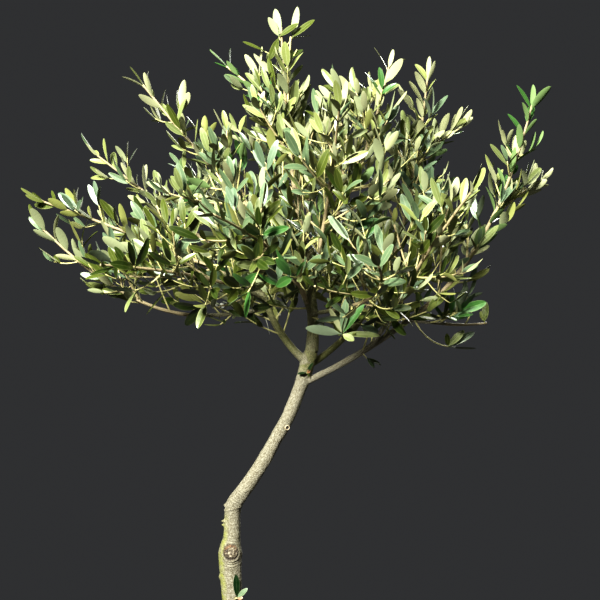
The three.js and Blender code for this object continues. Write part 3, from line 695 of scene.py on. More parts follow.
def ring_faces(rings, sides):
    """The faces that join rings of corners, and close both ends on the two corners after them."""
    here = np.arange(sides)
    following = (here + 1) % sides
    rows = (np.arange(rings - 1) * sides)[:, None]
    quads = np.stack([rows + here, rows + following, rows + sides + following, rows + sides + here], -1)
    foot, last = rings * sides, (rings - 1) * sides
    fans = [np.stack([np.full(sides, foot), following, here], -1),
            np.stack([np.full(sides, foot + 1), last + here, last + following], -1)]
    return np.concatenate([quads.ravel(), np.ravel(fans)]), np.repeat([4, 3], [len(rows) * sides, 2 * sides])


def tube(line, step, sides, radius_of, slot=0):
    """A closed tube round a line. radius_of takes a share of the length and the turns."""
    rings = max(3, math.ceil(line.length / step) + 1)
    along = np.linspace(0, 1, rings)
    centres = line.at(along)
    tangents = line.heading(along)
    side = across_twig(tangents[0])[0]
    turns = circle_turns(sides)
    corners = []
    for i in range(rings):
        side = unit(side - tangents[i] * (side @ tangents[i]))
        ring = np.outer(np.cos(turns), side) + np.outer(np.sin(turns), np.cross(tangents[i], side))
        corners.append(centres[i] + ring * np.reshape(radius_of(along[i], turns), (-1, 1)))
    loops, sizes = ring_faces(rings, sides)
    return Surface(np.vstack([*corners, centres[:1], centres[-1:]]), loops, sizes, np.full(len(sizes), slot))


def turned(profile, sides):
    """A surface turned about Z from points (radius, height) that start and end on the axis."""
    radius, height = np.array(profile, float).T[:, :, None]
    turns = circle_turns(sides)
    rings = np.stack([radius * np.cos(turns), radius * np.sin(turns), height + 0 * turns], -1)[1:-1]
    ends = [[0, 0, height[0, 0]], [0, 0, height[-1, 0]]]
    loops, sizes = ring_faces(len(rings), sides)
    return Surface(np.vstack([rings.reshape(-1, 3), ends]), loops, sizes, np.zeros(len(sizes), int))


def leaf_surface(leaves):
    """All the leaves of a list: folded blades with a raised midrib and margins that turn down.
    A spray has three slots: its upper side, midrib and margin, and under side."""
    def column(key):
        return np.array([getattr(leaf, key) for leaf in leaves], float).reshape(len(leaves), 1, -1)

    root, heading, facing, length, width, bend, sway, twist, fold = map(column, Leaf._fields[:-1])
    places, halves, depths = (np.reshape(row, (1, -1, 1))
                              for row in (LEAF_PLACES, LEAF_HALF_WIDTHS, LEAF_DEPTHS))
    halves = halves * width / 2
    across = np.cross(heading, facing)
    centres = (root + heading * length * places + facing * length * bend * places ** 2
               + across * length * sway * places ** 2)
    side = across * np.cos(twist * places) + facing * np.sin(twist * places)
    top = facing * np.cos(twist * places) - across * np.sin(twist * places)
    columns = [centres + side * halves * s + top * (depths + halves * (fold * abs(s) - LEAF_CURL * s * s))
               for s in LEAF_COLUMNS]
    rings = np.stack([*columns, centres - top * depths], axis=2)[:, 1:-1]
    count, ring_count, ring_size = rings.shape[:3]
    corners = np.concatenate([rings.reshape(count, -1, 3), centres[:, :1], centres[:, -1:]], axis=1)
    loops, sizes = ring_faces(ring_count, ring_size)
    loops = loops + (np.arange(count) * corners.shape[1])[:, None]
    face_sides = np.tile(LEAF_COLUMN_SIDES, ring_count + 1)
    for stalk in (0, ring_size * (ring_count - 1)):
        face_sides[stalk:stalk + ring_size] = RIB
    slots = np.array([leaf.spray for leaf in leaves])[:, None] * 3 + face_sides
    return Surface(corners.reshape(-1, 3), loops.ravel(), np.tile(sizes, count), slots.ravel())


# Materials. Noise scales are in lumps to a metre, and relief is in metres.

PALE_BARK = [(0.48, (0.084, 0.073, 0.042)), (0.55, (0.130, 0.120, 0.078)),
             (0.60, (0.164, 0.154, 0.108)), (0.66, (0.203, 0.195, 0.145))]
DARK_BARK = [(0.48, (0.052, 0.052, 0.014)), (0.57, (0.108, 0.112, 0.034)), (0.66, (0.165, 0.168, 0.066))]
BARE_WOOD = [(0.36, (0.018, 0.012, 0.006)), (0.47, (0.085, 0.068, 0.040)),
             (0.55, (0.165, 0.142, 0.092)), (0.66, (0.290, 0.265, 0.200))]
ALGAE = (0.165, 0.178, 0.036)
BARK_PORE = (0.077, 0.058, 0.029)
RUST = (0.120, 0.055, 0.018)
# near black: dark cracks in the cut, and painted shade in its groove
CRACK_AND_GROOVE_SHADE = (0.017, 0.010, 0.006)
CLAY = [(0.3, (0.32, 0.124, 0.06)), (0.5, (0.4, 0.164, 0.08)), (0.7, (0.464, 0.216, 0.12))]
CLAY_SPECK = (0.24, 0.088, 0.044)
LIME = (0.576, 0.448, 0.352)
TWIG_COLOURS = {"twig_old": (0.215, 0.180, 0.100), "twig_pale": (0.320, 0.275, 0.145),
                "twig_young": (0.330, 0.315, 0.135)}


class Look:
    """A material and the nodes that feed its shader."""

    def __init__(self, name):
        self.material = bpy.data.materials.new(name)
        self.material.use_nodes = True
        self.tree = self.material.node_tree
        self.shader = self.tree.nodes["Principled BSDF"]

    def feed(self, node, inputs):
        """Links each input to an output, or sets it to a number or a colour."""
        for key, value in inputs.items():
            if isinstance(value, bpy.types.NodeSocket):
                self.tree.links.new(value, node.inputs[key])
            else:
                node.inputs[key].default_value = (*value, 1) if isinstance(value, tuple) else value

    def node(self, kind, output, inputs, **options):
        node = self.tree.nodes.new("ShaderNode" + kind)
        for key, value in options.items():
            setattr(node, key, value)
        self.feed(node, inputs)
        return node.outputs[output]

    def place(self):
        """Where a point is, in metres, in the part's own frame."""
        return self.node("TexCoord", "Object", {})

    def bark(self, name, output="Fac"):
        return self.node("Attribute", output, {}, attribute_name="bark_" + name)

    def noise(self, place, scale, detail, rough=0.55):
        return self.node("TexNoise", "Fac",
                         {"Vector": place, "Scale": scale, "Detail": detail, "Roughness": rough})

    def ramp(self, value, stops):
        """Colours at places from 0 to 1."""
        node = self.tree.nodes.new("ShaderNodeValToRGB")
        self.feed(node, {"Fac": value})
        elements = node.color_ramp.elements
        while len(elements) < len(stops):
            elements.new(0.5)
        for element, (place, colour) in zip(elements, stops):
            element.position = place
            element.color = (*colour, 1)
        return node.outputs["Color"]

    def span(self, value, low, high, to_low=0.0, to_high=1.0):
        """Carries a value from one span over to another."""
        return self.node("MapRange", "Result", {"Value": value, "From Min": low, "From Max": high,
                                                "To Min": to_low, "To Max": to_high})

    def mix(self, share, first, second):
        return self.node("Mix", 2, {0: share, 6: first, 7: second}, data_type="RGBA")

    def calc(self, operation, *values):
        return self.node("Math", 0, dict(enumerate(values)), operation=operation)

    def finished(self, colour, roughness, height, depth):
        """The material, with its colour, roughness and relief."""
        normal = self.node("Bump", "Normal", {"Height": height, "Distance": depth, "Strength": 1.0})
        self.feed(self.shader, {"Base Color": colour, "Roughness": roughness, "Normal": normal})
        return self.material


def leaf_material(name, colour, roughness):
    """A plain leaf colour, with fine veins and pores in relief and an uneven sheen."""
    look = Look(name)
    place = look.place()
    veins = look.noise(place, 130, 2)
    relief = look.calc("ADD", look.calc("MULTIPLY", look.noise(place, 400, 3), 0.4), veins)
    uneven = look.span(veins, 0.3, 0.7, roughness - 0.08, roughness + 0.1)
    return look.finished(colour, uneven, relief, 0.0002)


def leaf_materials():
    """The three materials of each spray, in the order of its slots."""
    materials = []
    for name, (upper, under) in SPRAYS.items():
        rib = tuple(UPPER_SHARE * above + (1 - UPPER_SHARE) * below for above, below in zip(upper, under))
        for side, colour, roughness in (("upper", upper, 0.4), ("rib", rib, 0.6), ("under", under, 0.75)):
            materials.append(leaf_material("leaf_" + side + "_" + name, colour, roughness))
    return materials


def twig_material(name, colour):
    look = Look(name)
    grain = look.noise(look.place(), 420, 4)
    return look.finished(colour, look.span(grain, 0.3, 0.7, 0.55, 0.8), grain, 0.0006)


def bark_material():
    """Smooth cream-grey olive bark: fine lengthwise mottling, pores, algae on one side and scars, with
    painted shade on the side away from the key light and in the healed cut's groove.
    """
    look = Look("olive_bark")
    place = look.bark("place", "Vector")
    world = look.place()
    grain = look.noise(place, 1500, 4, 0.6)
    mottle = look.calc("MULTIPLY_ADD", look.noise(place, 750, 3), 0.6, look.calc("MULTIPLY", grain, 0.55))
    blotch = look.calc("MULTIPLY_ADD", look.noise(world, 26, 3), 0.5, -0.25)
    # the tone is the bark's own, with painted shade added on its side away from the key light
    darkness = look.span(look.calc("ADD", look.bark("tone"), blotch), 0.15, 0.95)
    colour = look.mix(darkness, look.ramp(mottle, PALE_BARK), look.ramp(mottle, DARK_BARK))
    patches = look.span(look.noise(world, 110, 3), 0.35, 0.6, 0.2, 0.95)
    colour = look.mix(look.calc("MULTIPLY", look.bark("algae"), patches), colour, ALGAE)
    pore = look.node("TexVoronoi", "Distance", {"Vector": place, "Scale": 210.0})
    pore = look.span(pore, 0.06, 0.26, 1.0, 0.0)
    colour = look.mix(look.calc("MULTIPLY", pore, 0.3), colour, BARK_PORE)
    colour = look.mix(look.bark("heart"), colour, look.ramp(look.noise(world, 420, 3, 0.6), BARE_WOOD))
    colour = look.mix(look.calc("MULTIPLY", look.bark("rust"), 0.8), colour, RUST)
    # dark cracks, and painted shade in the cut's groove
    colour = look.mix(look.bark("cracks_and_groove_shade"), colour, CRACK_AND_GROOVE_SHADE)
    relief = look.calc("SUBTRACT", grain, look.calc("MULTIPLY", pore, 0.4))
    return look.finished(colour, look.span(grain, 0.35, 0.65, 0.6, 0.85), relief, 0.0014)


def clay_material():
    """Terracotta: mottled red clay with a lime bloom near rim and foot."""
    look = Look("terracotta")
    place = look.place()
    speck = look.noise(place, 210, 4, 0.6)
    colour = look.ramp(look.noise(place, 9, 5, 0.6), CLAY)
    colour = look.mix(look.span(speck, 0.55, 0.75, 0, 0.55), colour, CLAY_SPECK)
    height = look.node("SeparateXYZ", "Z", {0: place})
    ends = look.calc("MAXIMUM", look.span(height, 0, 0.075, 1, 0), look.span(height, 0.225, 0.3, 0, 0.8))
    bloom = look.span(look.noise(place, 30, 6, 0.7), 0.45, 0.7, 0, 0.7)
    colour = look.mix(look.calc("MULTIPLY", ends, bloom), colour, LIME)
    return look.finished(colour, look.span(speck, 0.3, 0.7, 0.78, 0.95), speck, 0.0009)


def soil_material(name, dark, light):
    look = Look(name)
    grain = look.noise(look.place(), 120, 6, 0.7)
    colour = look.ramp(grain, [(0.35, dark), (0.7, light)])
    return look.finished(colour, look.span(grain, 0.3, 0.7, 0.85, 1.0), grain, 0.003)


# Trunk and boughs

WOOD_VOXEL = 1.1
WOOD_SMOOTHING = 5
WOOD_STEP = 3
TRUNK_SIDES = 72
BOUGH_SIDES = 28
BOUGH_END = 8
END_TAPER = 0.5
FORK_COLLAR = (0.06, 16)              # swelling at a bough's foot, and how far along it lasts
SIDE_COLLAR = (0.45, 7)
TONES = {
    # how dark and green a bough's bark is at its foot, and from a quarter of its length on
    "leader": (0.6, 0.7), "bough_left": (0.25, 0.85), "bough_right_rear": (0.9, 0.9),
    "bough_right": (0.1, 0.2), "bough_front": (0.8, 0.8), "bough_back": (0.9, 0.9),
    "branch_left_low": (0.35, 0.35), "branch_right_low": (0.2, 0.2), "branch_right_front": (0.3, 0.3),
}
TONE_ELSEWHERE = (0.6, 0.6)
TONE_PLACES = (0.06, 0.25)
TRUNK_TONE_HEIGHTS = (948, 976)       # the trunk's pale bark turns darker from here to the fork
TRUNK_TONES = (0.0, 0.8)
# painted shade: the bark turns darker on the side that faces this way, away from the key light
SHADY_SIDE = (1, 0.2, 0)
SHADY_TONE = 0.3
ALGAE_SIDE = (-0.95, -0.3, 0)
ALGAE_EDGE = (0.6, 0.3)               # how far the bark faces that side where they start, and to the full
ALGAE_TOP = 752
ALGAE_TOP_REACH = 60
ALGAE_FOOT = 480                      # from here down to the ground they are thinner
ALGAE_FOOT_REACH = 120
ALGAE_FOOT_SHARE = 0.55
BARK_GIRTH = 9                        # radius and stretch that the bark's pattern is laid out with
BARK_STRETCH = 0.35
BARK_LUMPS = [(0.55, 9, 1), (0.3, 4, 2)]   # layers of relief: height, size and seed
BARK_WAVES = [(0.7, 24, 3)]
LUMP_STRETCH = 0.25
FULL_RELIEF = 10                      # radius from which a limb has its relief in full
NUBS = [
    # place, height, spread: buds and stubs that stand out of the bark
    ((-23.5, -4, 752.5), 3.4, 3.0), ((-31, -2, 637.5), 2.6, 4.0), ((-25, -4, 727), 5.5, 2.4),
    ((-25, -1, 720.5), 4.5, 2.2), ((52, -4, 1027), 3.0, 3.4), ((-4, -18, 640), 1.4, 2.4),
]
WRINKLES = [
    # height on the trunk, how high the wrinkle stands, its spread
    (747, 0.9, 1.6), (700, 0.35, 2.0), (706, 0.3, 1.6), (771, 0.3, 2.0), (826, 0.3, 2.4), (912, 0.35, 2.5),
    (694, 0.3, 1.5), (656, 0.3, 1.8), (629, 0.3, 2.0),
]
WRINKLES_END = 940
WRINKLE_SLOPE = 0.25

# Healed pruning cut. Each ring has its middle radius, its spread, its height and how much higher it
# is at the lower right.
WOUND = (-13.4, -18, 679.5)
WOUND_FACING = (-0.02, -1, 0.05)
WOUND_LIP = (15, 2.2, 0.3, 1.2)
WOUND_GROOVE = (12.2, 1.4, -1.5, -0.9)
WOUND_HEART = 12.6
WOUND_FOLDS = (20.5, 6)
FOLD_HEIGHT = 0.9
FOLD_PITCH = 4.4
HEART_LUMPS = [(1.6, 2.6, 5), (0.8, 5, 6)]
RAGGEDNESS = [(0.9, 4, 10)]
WOUND_FLATNESS = 1.06
LOWER_RIGHT = 0.95                    # added to a turn, these make it 0 on that side of the wound
LOWER_LEFT = 2.4

# Stub of an old twig
STUB_HOLE_BAND = 4                    # the band of faces that goes down into the hole
STUB = (75.3, -13.4, 877.5)
STUB_FACING = (0.35, -0.92, -0.15)
STUB_PROFILE = [(0, -6), (4.2, -6), (4.4, 1.2), (3.9, 2.2), (3.2, 2.5), (2.6, 2.0), (2.4, 1.5), (0, 1.5)]
STUB_SIDES = 24
STUB_UNEVENNESS = 0.7
# the hole's near-black colour is painted shade
STUB_COLOURS = {"stub_rim": (0.250, 0.215, 0.140), "stub_hole_shade": (0.010, 0.006, 0.003)}


def trunk_tube():
    line = limbs["trunk"]
    return tube(line, WOOD_STEP, TRUNK_SIDES, lambda along, turns: trunk_radius(line.at(along)[2], turns))


def bough_tube(name):
    """A bough with a collar at its foot, a little longer than its solid and thinner at the end."""
    limb = limbs[name]
    longer = limb.grown(BOUGH_END)
    share = limb.length / longer.length
    swelling, reach = FORK_COLLAR if BOUGHS[name][1] == 1 else SIDE_COLLAR

    def radius_of(along, _):
        collar = 1 + swelling * math.exp(-along * limb.length / reach)
        end = 1 - END_TAPER * max(0, (along - share) / (1 - share))
        return limb.radius(min(1, along / share)) * collar * end

    return tube(longer, WOOD_STEP, BOUGH_SIDES, radius_of)


def remeshed(obj):
    """One skin round all the tubes."""
    remesh = obj.modifiers.new("skin", "REMESH")
    remesh.mode = "VOXEL"
    remesh.voxel_size = WOOD_VOXEL * MM
    smooth = obj.modifiers.new("smooth", "SMOOTH")
    smooth.iterations = WOOD_SMOOTHING
    smooth.factor = 0.5
    graph = bpy.context.evaluated_depsgraph_get()
    mesh = bpy.data.meshes.new_from_object(obj.evaluated_get(graph))
    obj.modifiers.clear()
    obj.data = mesh
    return mesh


def read_vectors(mesh, key):
    values = np.empty(len(mesh.vertices) * 3, np.float32)
    mesh.vertices.foreach_get(key, values)
    return values.reshape(-1, 3)


def tone_at(name, share, height):
    if name == "trunk":
        return np.interp(height, TRUNK_TONE_HEIGHTS, TRUNK_TONES)
    return np.interp(share, TONE_PLACES, TONES.get(name, TONE_ELSEWHERE))


def bark_coordinates(corners):
    """For each corner its limb's tone, how far along the limb it is, and its offset and heading."""
    rows = []
    for name, limb in limbs.items():
        shares = np.linspace(0, 1, max(4, int(limb.length / 4)))
        rows += [(tone_at(name, share, point[2]), share * limb.length, point, heading)
                 for share, point, heading in zip(shares, limb.at(shares), limb.heading(shares))]
    tree = kdtree.KDTree(len(rows))
    for i, row in enumerate(rows):
        tree.insert(Vector(row[2]), i)
    tree.balance()
    nearest = np.array([tree.find(Vector(corner))[1] for corner in corners])
    tones, alongs, points, headings = (np.array(column)[nearest] for column in zip(*rows))
    offset = corners - points
    climb = (offset * headings).sum(axis=1)
    return tones, alongs + climb, offset - headings * climb[:, None], headings


def noises(places, scale, seed):
    """Smooth noise from -1 to 1 at each place. scale is the size of its lumps in millimetres."""
    shift = Vector((seed * 17.3, seed * 9.1, seed * 5.7))
    return np.array([noise.noise(Vector(place) / scale + shift) for place in places])


def lumps(places, layers):
    return sum(height * noises(places, size, seed) for height, size, seed in layers)


def facing_axes(facing):
    """The directions to the right of a facing, above it and along it."""
    facing = unit(np.array(facing, float))
    level = unit(np.cross(UP, facing))
    return np.array([level, np.cross(facing, level), facing])


def swell(value, middle, spread):
    """A smooth swelling, 1 at its middle."""
    return np.exp(-((value - middle) / spread) ** 2)


def fade_in(value, start, reach):
    """From 0 at the start to 1 at the end of the reach."""
    return np.clip((value - start) / reach, 0, 1)


def wound_relief(corners):
    """Height, darkness, bare wood and rust of the healed cut: a rolled lip round a rough heart. The darkness
    is dark cracks in the heart and painted shade in the groove inside the lip.
    """
    x, y, depth = facing_axes(WOUND_FACING) @ (corners - np.array(WOUND)).T
    radius = np.hypot(x, y * WOUND_FLATNESS)
    turn = np.arctan2(y, x)
    lower_right = np.clip(np.cos(turn + LOWER_RIGHT), 0, 1)
    lower_left = np.clip(np.cos(turn + LOWER_LEFT), 0, 1)
    above = np.clip(np.sin(turn - 0.3) + 0.1, 0, 1)
    ragged = radius + lumps(corners, RAGGEDNESS)

    def ring(distance, middle, spread, height, more):
        return (height + more * lower_right) * swell(distance, middle, spread)

    folds = np.cos((radius - WOUND_LIP[0]) * FULL_TURN / FOLD_PITCH) * swell(radius, *WOUND_FOLDS)
    folds *= FOLD_HEIGHT * lower_right ** 0.6
    heart = fade_in(WOUND_HEART - ragged, 0, 1.5)
    height = (ring(radius, *WOUND_LIP) + ring(ragged, *WOUND_GROOVE) + folds
              + heart * lumps(corners, HEART_LUMPS))
    cracks = heart * np.clip(noises(corners * (1, 1, 0.6), 2.2, 9) * 2.6 - 0.3, 0, 1)
    # painted shade in the groove: a little all round, most at its lower sides
    edge = swell(ragged, WOUND_GROOVE[0], 1.5) * (0.25 + 0.75 * np.maximum(lower_right, lower_left))
    rust = swell(ragged, 11, 2) * above
    seen = fade_in(depth, -10, 6)
    return seen * height, seen * np.clip(edge + cracks, 0, 1), seen * heart, seen * rust


def relief(corners, along, aside, headings):
    """Height, darkness, bare wood and rust of the bark."""
    stretched = aside + headings * along[:, None] * LUMP_STRETCH
    height = lumps(stretched, BARK_LUMPS) + lumps(corners, BARK_WAVES)
    height *= np.clip(np.linalg.norm(aside, axis=1) / FULL_RELIEF, 0.3, 1)
    for centre, rise, spread in NUBS:
        height += rise * swell(np.linalg.norm(corners - np.array(centre), axis=1), 0, spread)
    is_wrinkled = corners[:, 2] < WRINKLES_END
    for level, rise, spread in WRINKLES:
        slope = corners[:, 2] - level - WRINKLE_SLOPE * (corners[:, 0] - limbs["trunk"].at(0.6)[0])
        height += is_wrinkled * rise * swell(slope, 0, spread)
    wound, dark, heart, rust = wound_relief(corners)
    return height * (1 - heart) + wound, dark, heart, rust


def add_attribute(mesh, name, values):
    is_vector = values.ndim == 2
    attribute = mesh.attributes.new("bark_" + name, "FLOAT_VECTOR" if is_vector else "FLOAT", "POINT")
    attribute.data.foreach_set("vector" if is_vector else "value", values.astype(np.float32).ravel())


def algae_on(corners, normals):
    """How green the bark is with algae, which grow on one side of the stem below its sharp bend."""
    heights = corners[:, 2]
    foot = ALGAE_FOOT_SHARE + (1 - ALGAE_FOOT_SHARE) * fade_in(heights, ALGAE_FOOT, ALGAE_FOOT_REACH)
    low = fade_in(ALGAE_TOP - heights, 0, ALGAE_TOP_REACH) * foot
    return fade_in(normals @ unit(np.array(ALGAE_SIDE, float)), *ALGAE_EDGE) * low


def make_wood():
    """The trunk and its boughs in one skin with the bark's relief, cut flat at its foot."""
    tubes = [trunk_tube(), *map(bough_tube, BOUGHS)]
    obj = mesh_object("wood", joined(tubes), [bark_material()])
    mesh = remeshed(obj)
    corners = read_vectors(mesh, "co") / MM
    normals = read_vectors(mesh, "normal")
    tones, along, aside, headings = bark_coordinates(corners)
    height, dark, heart, rust = relief(corners, along, aside, headings)
    shaped = corners + normals * height[:, None]
    shaped[:, 2] = np.maximum(shaped[:, 2], TRUNK_FOOT)
    mesh.vertices.foreach_set("co", (shaped * MM).astype(np.float32).ravel())
    mesh.update()
    mesh.shade_smooth()
    # painted shade: the bark's tone is raised, making it darker, on the side away from the key light
    shady = np.clip(normals @ unit(np.array(SHADY_SIDE, float)), 0, 1)
    place = (unit(aside) * BARK_GIRTH + headings * along[:, None] * BARK_STRETCH) * MM
    attributes = {"place": place, "tone": tones + SHADY_TONE * shady, "algae": algae_on(corners, normals),
                  "cracks_and_groove_shade": dark, "heart": heart, "rust": rust}
    for name, values in attributes.items():
        add_attribute(mesh, name, values)
    settle(obj, "bark", *limbs)


def make_stub():
    """The stub of an old twig on the trunk: a pale, uneven ring round a hole whose near-black colour is
    painted shade.
    """
    surface = turned(STUB_PROFILE, STUB_SIDES)
    axes = facing_axes(STUB_FACING)
    corners = np.array(STUB) + surface.corners @ axes
    corners += STUB_UNEVENNESS * noises(corners, 3, 14)[:, None] * axes[2]
    slots = surface.slots.copy()
    # painted shade: the band down into the hole and its floor take the near-black colour
    slots[STUB_HOLE_BAND * STUB_SIDES:(STUB_HOLE_BAND + 1) * STUB_SIDES] = 1
    slots[-STUB_SIDES:] = 1
    looks = [twig_material(name, colour) for name, colour in STUB_COLOURS.items()]
    settle(mesh_object("stub", surface._replace(corners=corners, slots=slots), looks), "bark")


# Foliage

TWIG_STEP = 7
STEM_SIDES = 7
TWIG_SIDES = 5
STEM_FOOT = 9                         # how far a stem starts inside its bough


def stem_tube(line, sides, slot, foot):
    """A twig with a slight swelling at each pair of leaves."""
    start = line.points[0] - line.heading(0.0) * foot
    longer = Line(np.vstack([start, line.points]), line.radii)

    def radius_of(along, _):
        node = math.cos(along * longer.length / LEAF_SPACING * FULL_TURN)
        return longer.radius(along) * (1 + 0.1 * max(0, node) ** 4)

    return tube(longer, TWIG_STEP, sides, radius_of, slot)


def make_mass(mass, leaf_looks, twig_looks):
    """The leaves of a mass and its twigs, in the slots of old, pale and young wood."""
    nodes = [] if mass is inside else ["foliage_" + mass.name]
    leaves = mesh_object("leaves_" + mass.name, leaf_surface(mass.leaves), leaf_looks, LEAF_SHARP)
    settle(leaves, "foliage", *nodes)
    tubes = []
    for i, twig in enumerate(mass.twigs):
        if i == 0 and mass is not inside:
            tubes.append(stem_tube(twig, STEM_SIDES, 0, STEM_FOOT))
        else:
            tubes.append(stem_tube(twig, TWIG_SIDES, 1 if i < mass.main_count else 2, 0))
    settle(mesh_object("twigs_" + mass.name, joined(tubes), twig_looks), "bark", *nodes)


# Pot and soil

POT_HEIGHT = 300
POT_FOOT_RADIUS = 112
POT_WAIST_RADIUS = 146
POT_RIM_RADIUS = 160
POT_RIM_HEIGHT = 52
POT_RIM_FOOT = POT_HEIGHT - POT_RIM_HEIGHT
POT_WALL = 12
POT_FLOOR = 16
POT_EDGE = 4
POT_INSIDE = [(POT_FOOT_RADIUS - POT_WALL + POT_EDGE, POT_FLOOR),
              (POT_RIM_RADIUS - 2 * POT_WALL, POT_RIM_FOOT - POT_WALL),
              (POT_RIM_RADIUS - POT_WALL, POT_HEIGHT)]
POT_PROFILE = [(0, 0), (POT_FOOT_RADIUS, 0), (POT_WAIST_RADIUS, POT_RIM_FOOT),
               (POT_RIM_RADIUS, POT_RIM_FOOT), (POT_RIM_RADIUS, POT_HEIGHT), *POT_INSIDE[::-1],
               (0, POT_FLOOR)]
POT_ROUNDING = POT_EDGE * 1.3
POT_SIDES = 160
POT_STEP = 2.5
POT_SHARP = 60
THROWING_RINGS = [(0.28, 7.5, 0), (0.22, 3.1, 1)]   # height, pitch and start
RING_SHARE = 0.6
POT_LUMPS = [(0.35, 34, 7), (0.15, 9, 8)]
POT_INSET = 0.5
POT_EVEN_RADIUS = 40                  # nearer the middle the pot is left even
SOIL_DOMING = 4
SOIL_SIDES = 120
SOIL_BEND = 200                       # a height at which the soil's side is fitted to the pot
SOIL_LUMPS = [(1.6, 16, 11), (1.1, 6, 12), (0.7, 2.6, 13)]
SOIL_SINK = 1.2
CRUMBS = [
    # count, slot, sizes from and to, shape: compost, chips of bark, grit
    (900, 0, (1.4, 3.4), (1, 1, 0.8)),
    (120, 1, (3, 7), (1, 0.6, 0.28)),
    (70, 2, (1.2, 2.4), (1, 0.9, 0.9)),
]
CRUMB_FIELD = 140
CRUMB_CLEARING = 34                   # round the trunk
CRUMB_OFF_POT = 7
CRUMB_UNEVENNESS = (0.75, 1.25)
CRUMB_TILT = 0.25
CRUMB_SINK = 0.5
CRUMB_SHARP = 40
CRUMB_FACES = [(0, 11, 5), (0, 5, 1), (0, 1, 7), (0, 7, 10), (0, 10, 11), (1, 5, 9), (5, 11, 4),
               (11, 10, 2), (10, 7, 6), (7, 1, 8), (3, 9, 4), (3, 4, 2), (3, 2, 6), (3, 6, 8),
               (3, 8, 9), (4, 9, 5), (2, 4, 11), (6, 2, 10), (8, 6, 7), (9, 8, 1)]


def rounded(points, radius, steps=4):
    """A profile with its inner corners rounded off."""
    points = [np.array(p, float) for p in points]
    out = [points[0]]
    for before, corner, after in zip(points, points[1:], points[2:]):
        reach = min(radius, np.linalg.norm(before - corner) / 2.2, np.linalg.norm(after - corner) / 2.2)
        start = corner + unit(before - corner) * reach
        end = corner + unit(after - corner) * reach
        for t in np.linspace(0, 1, steps + 1):
            out.append((1 - t) ** 2 * start + 2 * t * (1 - t) * corner + t * t * end)
    return out + [points[-1]]


def filled_in(points, step):
    """A profile with points added on its long straight stretches."""
    out = [points[0]]
    for start, end in zip(points, points[1:]):
        count = max(1, math.ceil(np.linalg.norm(end - start) / step))
        out += [start + (end - start) * t for t in np.linspace(0, 1, count + 1)[1:]]
    return out


def make_pot():
    """A thrown pot: throwing rings and a slightly uneven wall, kept inside its own size."""
    surface = turned(filled_in(rounded(POT_PROFILE, POT_ROUNDING), POT_STEP), POT_SIDES)
    corners = surface.corners.copy()
    radius = np.hypot(corners[:, 0], corners[:, 1])
    rings = sum(height * np.sin(corners[:, 2] * FULL_TURN / pitch + start)
                for height, pitch, start in THROWING_RINGS)
    change = -POT_INSET + rings * RING_SHARE + lumps(corners, POT_LUMPS)
    corners[:, :2] *= (1 + np.where(radius > POT_EVEN_RADIUS, change / np.maximum(radius, 1), 0))[:, None]
    shell = mesh_object("pot_shell", surface._replace(corners=corners), [clay_material()], POT_SHARP)
    settle(shell, "pot", "pot")


def inside_radius(height):
    radii, heights = zip(*POT_INSIDE)
    return np.interp(height, heights, radii)


def make_soil():
    foot = POT_FLOOR + GAP
    edge = inside_radius(SOIL_TOP) - 1
    top = [(edge * share, SOIL_TOP + SOIL_DOMING * (1 - share ** 2)) for share in np.linspace(1, 0.02, 56)]
    side = [(inside_radius(height) - 1, height) for height in (foot, SOIL_BEND)]
    surface = turned([(0, foot), *side, *top, (0, top[-1][1])], SOIL_SIDES)
    corners = surface.corners.copy()
    corners[:, 2] += np.where(corners[:, 2] > SOIL_TOP - 1, lumps(corners, SOIL_LUMPS) - SOIL_SINK, 0)
    bed = mesh_object("soil_bed", surface._replace(corners=corners),
                      [soil_material("compost", (0.018, 0.012, 0.008), (0.075, 0.05, 0.033))])
    settle(bed, "soil", "soil")


def make_crumb(rng, corners, slot, sizes, shape):
    """One uneven, tilted crumb somewhere on the soil."""
    turn = rng.uniform(0, FULL_TURN)
    share = math.sqrt(rng.uniform((CRUMB_CLEARING / CRUMB_FIELD) ** 2, 1))
    radius = share * (inside_radius(SOIL_TOP) - CRUMB_OFF_POT)
    size = rng.uniform(*sizes)
    crumb = corners * rng.uniform(*CRUMB_UNEVENNESS, (12, 1)) * np.array(shape) * size
    spin = rng.uniform(0, FULL_TURN)
    tilt = rng.normal(0, CRUMB_TILT)
    axes = np.array([[math.cos(spin), math.sin(spin), 0], [-math.sin(spin), math.cos(spin), 0],
                     [0, math.sin(tilt), 1]])
    height = SOIL_TOP - CRUMB_SINK + SOIL_DOMING * (1 - (radius / CRUMB_FIELD) ** 2)
    place = np.array([radius * math.cos(turn), radius * math.sin(turn), height])
    faces = len(CRUMB_FACES)
    return Surface(crumb @ axes + place, np.ravel(CRUMB_FACES), np.full(faces, 3), np.full(faces, slot))


def make_crumbs():
    """Crumbs of compost, chips of bark and a little grit on the soil."""
    rng = np.random.default_rng(SEED)
    golden = (1 + math.sqrt(5)) / 2
    corners = unit(np.array([np.roll((a, b * golden, 0), turn)
                             for turn, b, a in product(range(3), (1, -1), (-1, 1))]))
    pieces = [make_crumb(rng, corners, *plan) for count, *plan in CRUMBS for _ in range(count)]
    materials = [soil_material("compost_crumb", (0.03, 0.02, 0.012), (0.11, 0.07, 0.045)),
                 soil_material("bark_chip", (0.07, 0.038, 0.02), (0.22, 0.13, 0.075)),
                 soil_material("grit", (0.38, 0.35, 0.30), (0.62, 0.60, 0.55))]
    settle(mesh_object("soil_crumbs", joined(pieces), materials, CRUMB_SHARP), "soil")


# Camera, light and floor

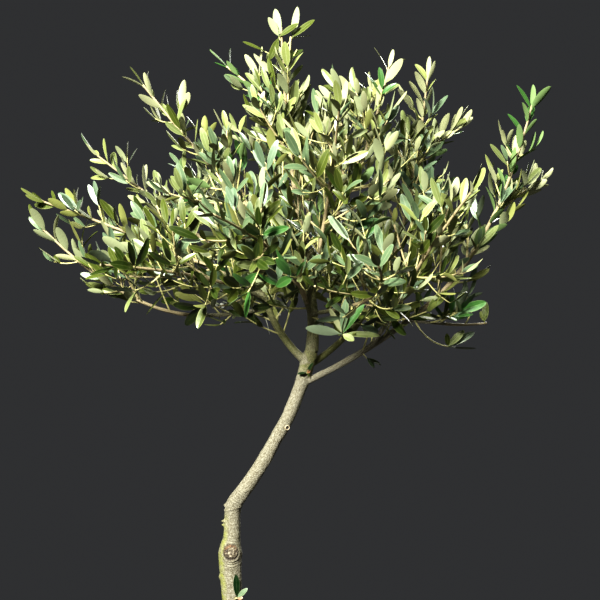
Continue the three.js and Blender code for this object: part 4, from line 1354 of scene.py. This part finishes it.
PHOTO_SIDE = 600                      # pixels
PHOTO_SCALE = 1.6                     # millimetres to a pixel, in the trunk's plane
PHOTO_CENTRE = (96, 0, 1080)          # where the photo's centre lies in that plane
CAMERA_LENS = 70
CAMERA_SENSOR = 36
LIGHT_AIM = (0.1, 0, 1.2)
LIGHTS = [
    # name, place, size, power, colour
    ("key", (-1.1, -2.7, 2.6), 0.9, 500, (1.0, 0.99, 0.96)),
    ("fill", (2.4, -2.2, 1.5), 2.0, 5, (1.0, 1.0, 0.96)),
    ("top", (0.3, -1.5, 3.7), 1.2, 40, (1.0, 1.0, 1.0)),
    ("back", (0.9, 2.9, 2.4), 1.8, 170, (1.0, 1.0, 1.0)),
]
BACKDROP = (0.045, 0.046, 0.048)
FLOOR = [(0, -10), (900, -10), (900, 0), (0, 0)]
FLOOR_SIDES = 128
FLOOR_SHARP = 30
FLOOR_PAINT = {"Base Color": (0.135, 0.133, 0.129), "Roughness": 0.9, "Specular IOR Level": 0.1}


def make_camera():
    data = bpy.data.cameras.new("camera")
    data.lens = CAMERA_LENS
    data.sensor_width = CAMERA_SENSOR
    camera = bpy.data.objects.new("camera", data)
    bpy.context.scene.collection.objects.link(camera)
    distance = PHOTO_SIDE * PHOTO_SCALE * MM * CAMERA_LENS / CAMERA_SENSOR
    camera.location = Vector(PHOTO_CENTRE) * MM + Vector((0, -distance, 0))
    camera.rotation_euler = (math.radians(90), 0, 0)
    bpy.context.scene.camera = camera


def add_light(name, place, size, power, colour):
    data = bpy.data.lights.new(name, "AREA")
    data.shape = "DISK"
    data.size = size
    data.energy = power
    data.color = colour
    light = bpy.data.objects.new(name, data)
    light.location = place
    light.rotation_euler = (Vector(LIGHT_AIM) - Vector(place)).to_track_quat("-Z", "Y").to_euler()
    bpy.context.scene.collection.objects.link(light)


def make_studio():
    for plan in LIGHTS:
        add_light(*plan)
    world = bpy.data.worlds.new("studio")
    world.use_nodes = True
    world.node_tree.nodes["Background"].inputs["Color"].default_value = (*BACKDROP, 1)
    bpy.context.scene.world = world
    bpy.context.scene.view_settings.view_transform = "Standard"
    bpy.context.scene.view_settings.look = "High Contrast"
    paint = Look("floor_paint")
    paint.feed(paint.shader, FLOOR_PAINT)
    mesh_object("floor", turned(FLOOR, FLOOR_SIDES), [paint.material], FLOOR_SHARP)


make_camera()
make_studio()
make_wood()
leaf_looks = leaf_materials()
twig_looks = [twig_material(name, colour) for name, colour in TWIG_COLOURS.items()]
for mass in (*masses, inside):
    make_mass(mass, leaf_looks, twig_looks)
make_stub()
make_pot()
make_soil()
make_crumbs()
